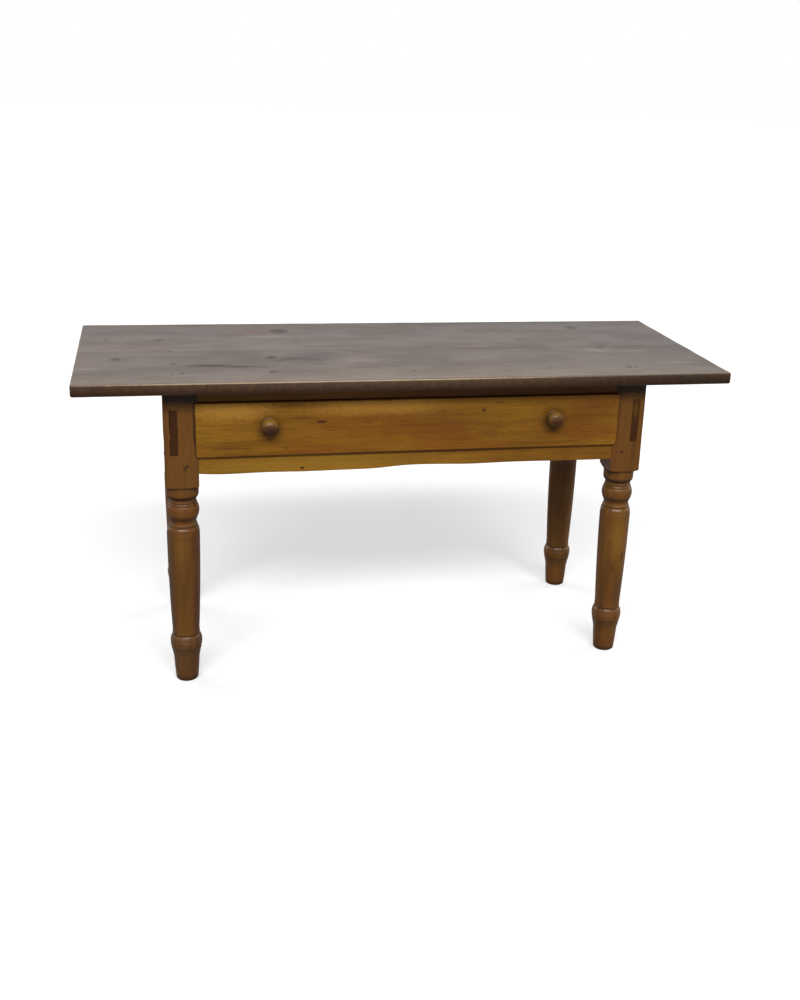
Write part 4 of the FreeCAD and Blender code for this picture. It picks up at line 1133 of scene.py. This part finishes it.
@dataclass
class Knobs:
    """The two turned knobs of the drawer, in millimetres from the drawer's face."""

    places: Sequence[Pair] = ((-338.0, 646.0), (338.0, 646.0))
    face: float = -253.3
    around: int = 96
    crease: float = 45.0
    seed: float = 3.0
    wobble: Pair = (0.006, 0.003)
    profile: Sequence[Pair] = (
        (7.0, -22.0), (7.0, -0.05), (18.0, -0.05), (18.4, 0.35), (18.4, 1.6), (17.6, 2.4), (15.6, 3.2),
        (13.2, 4.2), (11.6, 5.6), (10.9, 7.4), (11.0, 9.0), (12.0, 10.6), (14.0, 12.2), (16.6, 13.6),
        (18.8, 15.0), (19.9, 16.6),
        (20.3, 18.4), (20.2, 20.4), (19.5, 22.6), (18.3, 24.9), (16.6, 27.1), (14.5, 29.1), (12.0, 30.8),
        (9.3, 32.15), (6.4, 33.1), (3.4, 33.7), (1.2, 33.93), (0.4, 33.95))
    spots: Sequence[Spot] = (
        # Low on the heads the STAIN, RUST and KNOT marks are painted shade on their undersides, high up the
        # GOLD marks are painted light on their tops, and the grime band round the necks is painted shade.
        *marks(Mark.STAIN, 0.1, 0.35, (-338, -286, 635, 24, 22, 15, 0.5)),
        *marks(Mark.RUST, 0.1, 0.35, (-338, -286, 635, 24, 22, 15, 0.45)),
        *marks(Mark.RUST, 0.1, 0.4, (338, -286, 637, 24, 22, 13, 0.35)),
        *marks(Mark.KNOT, 0.1, 0.4, (-338, -286, 632, 22, 22, 12, 0.35),
               (338, -286, 634, 24, 22, 11, 0.25)),
        *marks(Mark.GOLD, 0.1, 0.6, (-338, -272, 664, 24, 18, 12, 0.45),
               (334, -272, 660, 22, 18, 12, 0.2)),
        *marks(Mark.GRIME_AND_SHADE, 0.1, 0.6, (0, -263, 646, 400, 5, 40, 0.5)))

    def rings(self, x: float, z: float) -> np.ndarray:
        """Points of one knob: its profile, smoothed by splitting each step, turned about an axis along -Y.

        Args:
            x: Place of its axis along the drawer.
            z: Height of its axis.

        Returns:
            Points, rows x around x 3, in metres.
        """
        profile = np.array(self.profile)
        t = np.arange(len(profile))
        fine = np.unique(np.concatenate([t[:6].astype(float), np.arange(5, len(profile) - 1 + 0.01, 0.5)]))
        radius, out = (np.interp(fine, t, profile[:, column]) for column in (0, 1))
        angle = np.arange(self.around) * 2 * math.pi / self.around
        oval, three_sided = self.wobble
        wobble = 1 + oval * np.sin(2 * angle + x) + three_sided * np.sin(3 * angle)
        ring = radius[:, None] * wobble[None, :]
        points = np.stack([x + ring * np.cos(angle), np.repeat((self.face - out)[:, None], self.around, 1),
                           z + ring * np.sin(angle)], axis=-1)
        return points * MM

    def build(self) -> None:
        """Build and dress both knobs, in one object."""
        piece = add_skins("turned_drawer_knobs", [self.rings(x, z) for x, z in self.places], self.crease)
        material = Woods.KNOB.material("drawer_knobs", Grain.ALONG_Y, (0.0, 0.0, 0.61), self.seed, self.spots)
        settle(piece, Body.DRAWER, material, "drawer_knobs")


# ---- pieces that keep their own shape
@dataclass
class Carcass:
    """Aprons, rails, carriage and drawer pieces, which keep their shapes and get their finishes.

    Each dress is a node, its wood, the run of its grain and a point on its pith, and its number in
    the table is its seed.
    """

    spots: dict[str, Sequence[Spot]] = field(default_factory=lambda: {
        "end_apron_left": marks(Mark.GRIME_AND_SHADE, 0.2, 0.5, (-558.4, -246, 630, 1.3, 4, 60, 0.85)),
        "end_apron_right": marks(Mark.GOLD, 0.4, 0.8, (551, -246, 662, 7, 6, 22, 0.16)),
        "front_lower_rail": (
            *knots((-262, -244, 538, 5, 8, 3, 0.9)),
            *marks(Mark.GOLD, 0.6, 0.8, (-280, -244, 548, 300, 12, 30, 0.45)),
            *marks(Mark.RUST, 0.6, 0.8, (330, -244, 548, 190, 12, 30, 0.3))),
        # Painted light: a golden patch that lifts the left of the rail within the top's shadow.
        "front_upper_rail": marks(Mark.GOLD, 0.5, 0.8, (-270, -244, 717, 290, 14, 40, 0.2)),
        "drawer_front": (
            *knots((-218, -253, 651, 12, 8, 3.5, 0.8), (165, -253, 669, 5, 8, 3, 0.8)),
            *marks(Mark.KNOT, 0.8, 0.5, (-425, -253, 592, 34, 8, 3, 0.35)),
            # Painted shade: a dark rust-coloured band along the drawer's lower edge, over the gap to the rail.
            *marks(Mark.RUST, 0.15, 0.4, (0, -253, 570, 520, 14, 4.8, 0.9)),
            *marks(Mark.RUST, 0.4, 0.5, (-265, -253, 661, 24, 8, 4, 0.5)),
            *marks(Mark.RUST, 0.8, 0.9, (176, -253, 613, 36, 8, 9, 0.4)),
            *marks(Mark.RUST, 0.6, 0.9, (110, -253, 650, 150, 12, 36, 0.35),
                   (420, -253, 660, 150, 12, 60, 0.35)),
            *marks(Mark.GRIME_AND_SHADE, 0.15, 0.4, (-506, -253, 640, 4, 14, 90, 0.8),
                   (506, -253, 640, 4, 14, 90, 0.6)),
            *marks(Mark.GRIME_AND_SHADE, 0.3, 0.6, (-338, -253, 640, 27, 12, 28, 0.4),
                   (338, -253, 640, 27, 12, 28, 0.4)),
            # Painted light over honey patches: the upper band of the drawer lies in the top's shadow.
            *marks(Mark.HONEY_AND_PAINTED_LIGHT, 0.7, 0.8, (-425, -253, 684, 85, 12, 20, 0.6),
                   (-90, -253, 683, 130, 12, 18, 0.45)))})
    dresses: Sequence[tuple[str, WoodFinish, Grain, Point]] = (
        ("end_apron_left", Woods.APRON, Grain.ALONG_Y, (-0.60, 0, 0.66)),
        ("end_apron_right", Woods.APRON, Grain.ALONG_Y, (0.62, 0, 0.60)),
        ("back_apron", Woods.APRON, Grain.ALONG_X, (0, 0.34, 0.63)),
        ("front_lower_rail", Woods.PINE, Grain.ALONG_X, (0, -0.19, 0.47)),
        ("front_upper_rail", Woods.APRON, Grain.ALONG_X, (0, -0.2, 0.80)),
        ("drawer_front", Woods.PINE, Grain.ALONG_X, (0, -0.12, 0.70)),
        ("drawer_side_left", Woods.RAW, Grain.ALONG_Y, (-0.43, 0, 0.62)),
        ("drawer_side_right", Woods.RAW, Grain.ALONG_Y, (0.42, 0, 0.65)),
        ("drawer_back", Woods.RAW, Grain.ALONG_X, (0, 0.25, 0.62)),
        ("drawer_bottom_front", Woods.RAW, Grain.ALONG_X, (0, -0.1, 0.50)),
        ("drawer_bottom_back", Woods.RAW, Grain.ALONG_X, (0, 0.1, 0.48)),
        ("drawer_runner_left", Woods.RAW, Grain.ALONG_Y, (-0.45, 0, 0.50)),
        ("drawer_runner_right", Woods.RAW, Grain.ALONG_Y, (0.45, 0, 0.50)),
        ("drawer_guide_left", Woods.RAW, Grain.ALONG_Y, (-0.47, 0, 0.60)),
        ("drawer_guide_right", Woods.RAW, Grain.ALONG_Y, (0.47, 0, 0.60)),
        ("drawer_kicker_left", Woods.RAW, Grain.ALONG_Y, (-0.45, 0, 0.68)),
        ("drawer_kicker_right", Woods.RAW, Grain.ALONG_Y, (0.45, 0, 0.68)))
    iron: Sequence[str] = ("guide_nails", "kicker_nails", "top_nails", "drawer_bottom_nails")

    def build(self) -> None:
        """Put the finishes on the kept pieces."""
        for seed, (name, finish, grain, pith) in enumerate(self.dresses, 1):
            self.paint(name, finish.material(name, grain, pith, seed, self.spots.get(name, ())))
        iron = IronFinish().material()
        for name in self.iron:
            self.paint(name, iron)

    @staticmethod
    def paint(name: str, material: Material) -> None:
        """Put a material in every slot of a kept piece."""
        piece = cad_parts[name]
        for slot in piece.material_slots:
            slot.material = material
        LOG.info("%s: %s", name, material.name)


# ---- the studio
@dataclass
class Studio:
    """Camera, lights and a plain pale floor."""

    place: Point = (-0.58085, -2.92862, 1.46105)
    yaw: float = math.radians(13.955)
    pitch: float = math.radians(18.345)
    roll: float = math.radians(2.4735)
    lens: float = 44.045
    sensor: float = 36.0
    shift: Pair = (-0.0486, -0.0397)
    key_turn: float = -6.1
    key_height: float = 41.2
    key_fan: Sequence[float] = (-30.0, -15.0, 0.0, 15.0, 30.0)
    key_spread: float = 16.0
    key_level: float = 0.198
    back_fan: Sequence[float] = (-132.0, 106.0)
    back_height: float = 26.0
    back_spread: float = 45.0
    back_level: float = 0.34
    fill: float = 0.28
    floor_size: float = 60.0
    floor_lit: float = 0.3
    floor_seen: float = 0.72
    floor_glow: float = 0.3

    def camera(self) -> None:
        """Set the camera by its yaw to the right of Y, its pitch down and its roll, in radians."""
        sy, cy = math.sin(self.yaw), math.cos(self.yaw)
        sp, cp = math.sin(self.pitch), math.cos(self.pitch)
        forward = np.array([sy * cp, cy * cp, -sp])
        level = np.array([cy, -sy, 0.0])
        upright = np.cross(level, forward)
        right = math.cos(self.roll) * level + math.sin(self.roll) * upright
        up = math.cos(self.roll) * upright - math.sin(self.roll) * level
        turn = np.stack([right, up, -forward], axis=1)
        data = bpy.data.cameras.new("camera")
        data.lens, data.sensor_width = self.lens, self.sensor
        data.shift_x, data.shift_y = self.shift
        camera = bpy.data.objects.new("camera", data)
        camera.location = self.place
        camera.rotation_euler = (math.atan2(turn[2, 1], turn[2, 2]), math.asin(-turn[2, 0]),
                                 math.atan2(turn[1, 0], turn[0, 0]))
        bpy.context.scene.collection.objects.link(camera)
        bpy.context.scene.camera = camera

    def lamp(self, turn: float, height: float, spread: float, level: float) -> None:
        """Hang one lamp, so far off that it lights the whole floor evenly.

        Args:
            turn: Degrees to the right of the front that it hangs at.
            height: Degrees that it stands above the floor.
            spread: Degrees that it is wide.
            level: What it adds to a white surface that faces it.
        """
        data = bpy.data.lights.new("lamp", "SUN")
        data.angle = math.radians(spread)
        data.energy = level * math.pi
        lamp = bpy.data.objects.new("lamp", data)
        lamp.rotation_euler = (math.radians(90 - height), 0.0, math.radians(turn))
        bpy.context.scene.collection.objects.link(lamp)

    def lamps(self) -> None:
        """Hang the key lamps in a fan at the front, and softer ones at the back."""
        for turn in self.key_fan:
            self.lamp(self.key_turn + turn, self.key_height, self.key_spread, self.key_level)
        for turn in self.back_fan:
            self.lamp(turn, self.back_height, self.back_spread, self.back_level)

    def surroundings(self) -> None:
        """White to the camera and in reflections, and a softer fill for everything else."""
        world = bpy.data.worlds.new("surroundings")
        g = Graph.of(world)
        path = g.add("ShaderNodeLightPath").outputs
        mirrored = g.math("MAXIMUM", path["Is Glossy Ray"], path["Is Transmission Ray"])
        seen = g.math("MAXIMUM", path["Is Camera Ray"], mirrored)
        strength = g.step(seen, 0.0, 1.0, self.fill, 1.0)
        g.shade("ShaderNodeBackground", {"Color": WHITE, "Strength": strength}, "ShaderNodeOutputWorld")
        bpy.context.scene.world = world

    def floor(self) -> None:
        """Lay the floor: plain and pale, and white to the camera where nothing shades it."""
        half = self.floor_size / 2
        points = np.array([[-half, -half, 0], [half, -half, 0], [half, half, 0], [-half, half, 0]])
        piece = add_object("floor", points, [[0, 1, 2, 3]])
        material = bpy.data.materials.new("pale floor")
        g = Graph.of(material)
        seen = g.add("ShaderNodeLightPath").outputs["Is Camera Ray"]
        lit, pale = ((grey, grey, grey, 1.0) for grey in (self.floor_lit, self.floor_seen))
        g.shade("ShaderNodeBsdfPrincipled", {
            "Base Color": g.mix(seen, lit, pale), "Roughness": 0.9, "Specular IOR Level": 0.0,
            "Emission Color": WHITE, "Emission Strength": g.math("MULTIPLY", seen, self.floor_glow)})
        piece.data.materials.append(material)

    def build(self) -> None:
        """Set up the whole studio."""
        self.camera()
        self.lamps()
        self.surroundings()
        self.floor()
        bpy.context.scene.view_settings.view_transform = "Standard"
        LOG.info("studio: camera, lamps, surroundings and floor")


def main() -> None:
    """Build the studio and every part of the table in order."""
    logging.basicConfig(level=logging.INFO, format="%(name)s: %(message)s")
    Studio().build()
    TableTop().build()
    Legs().build()
    for pegs in Pegs.groups():
        pegs.build()
    Knobs().build()
    Carcass().build()


if __name__ == "__main__":
    main()
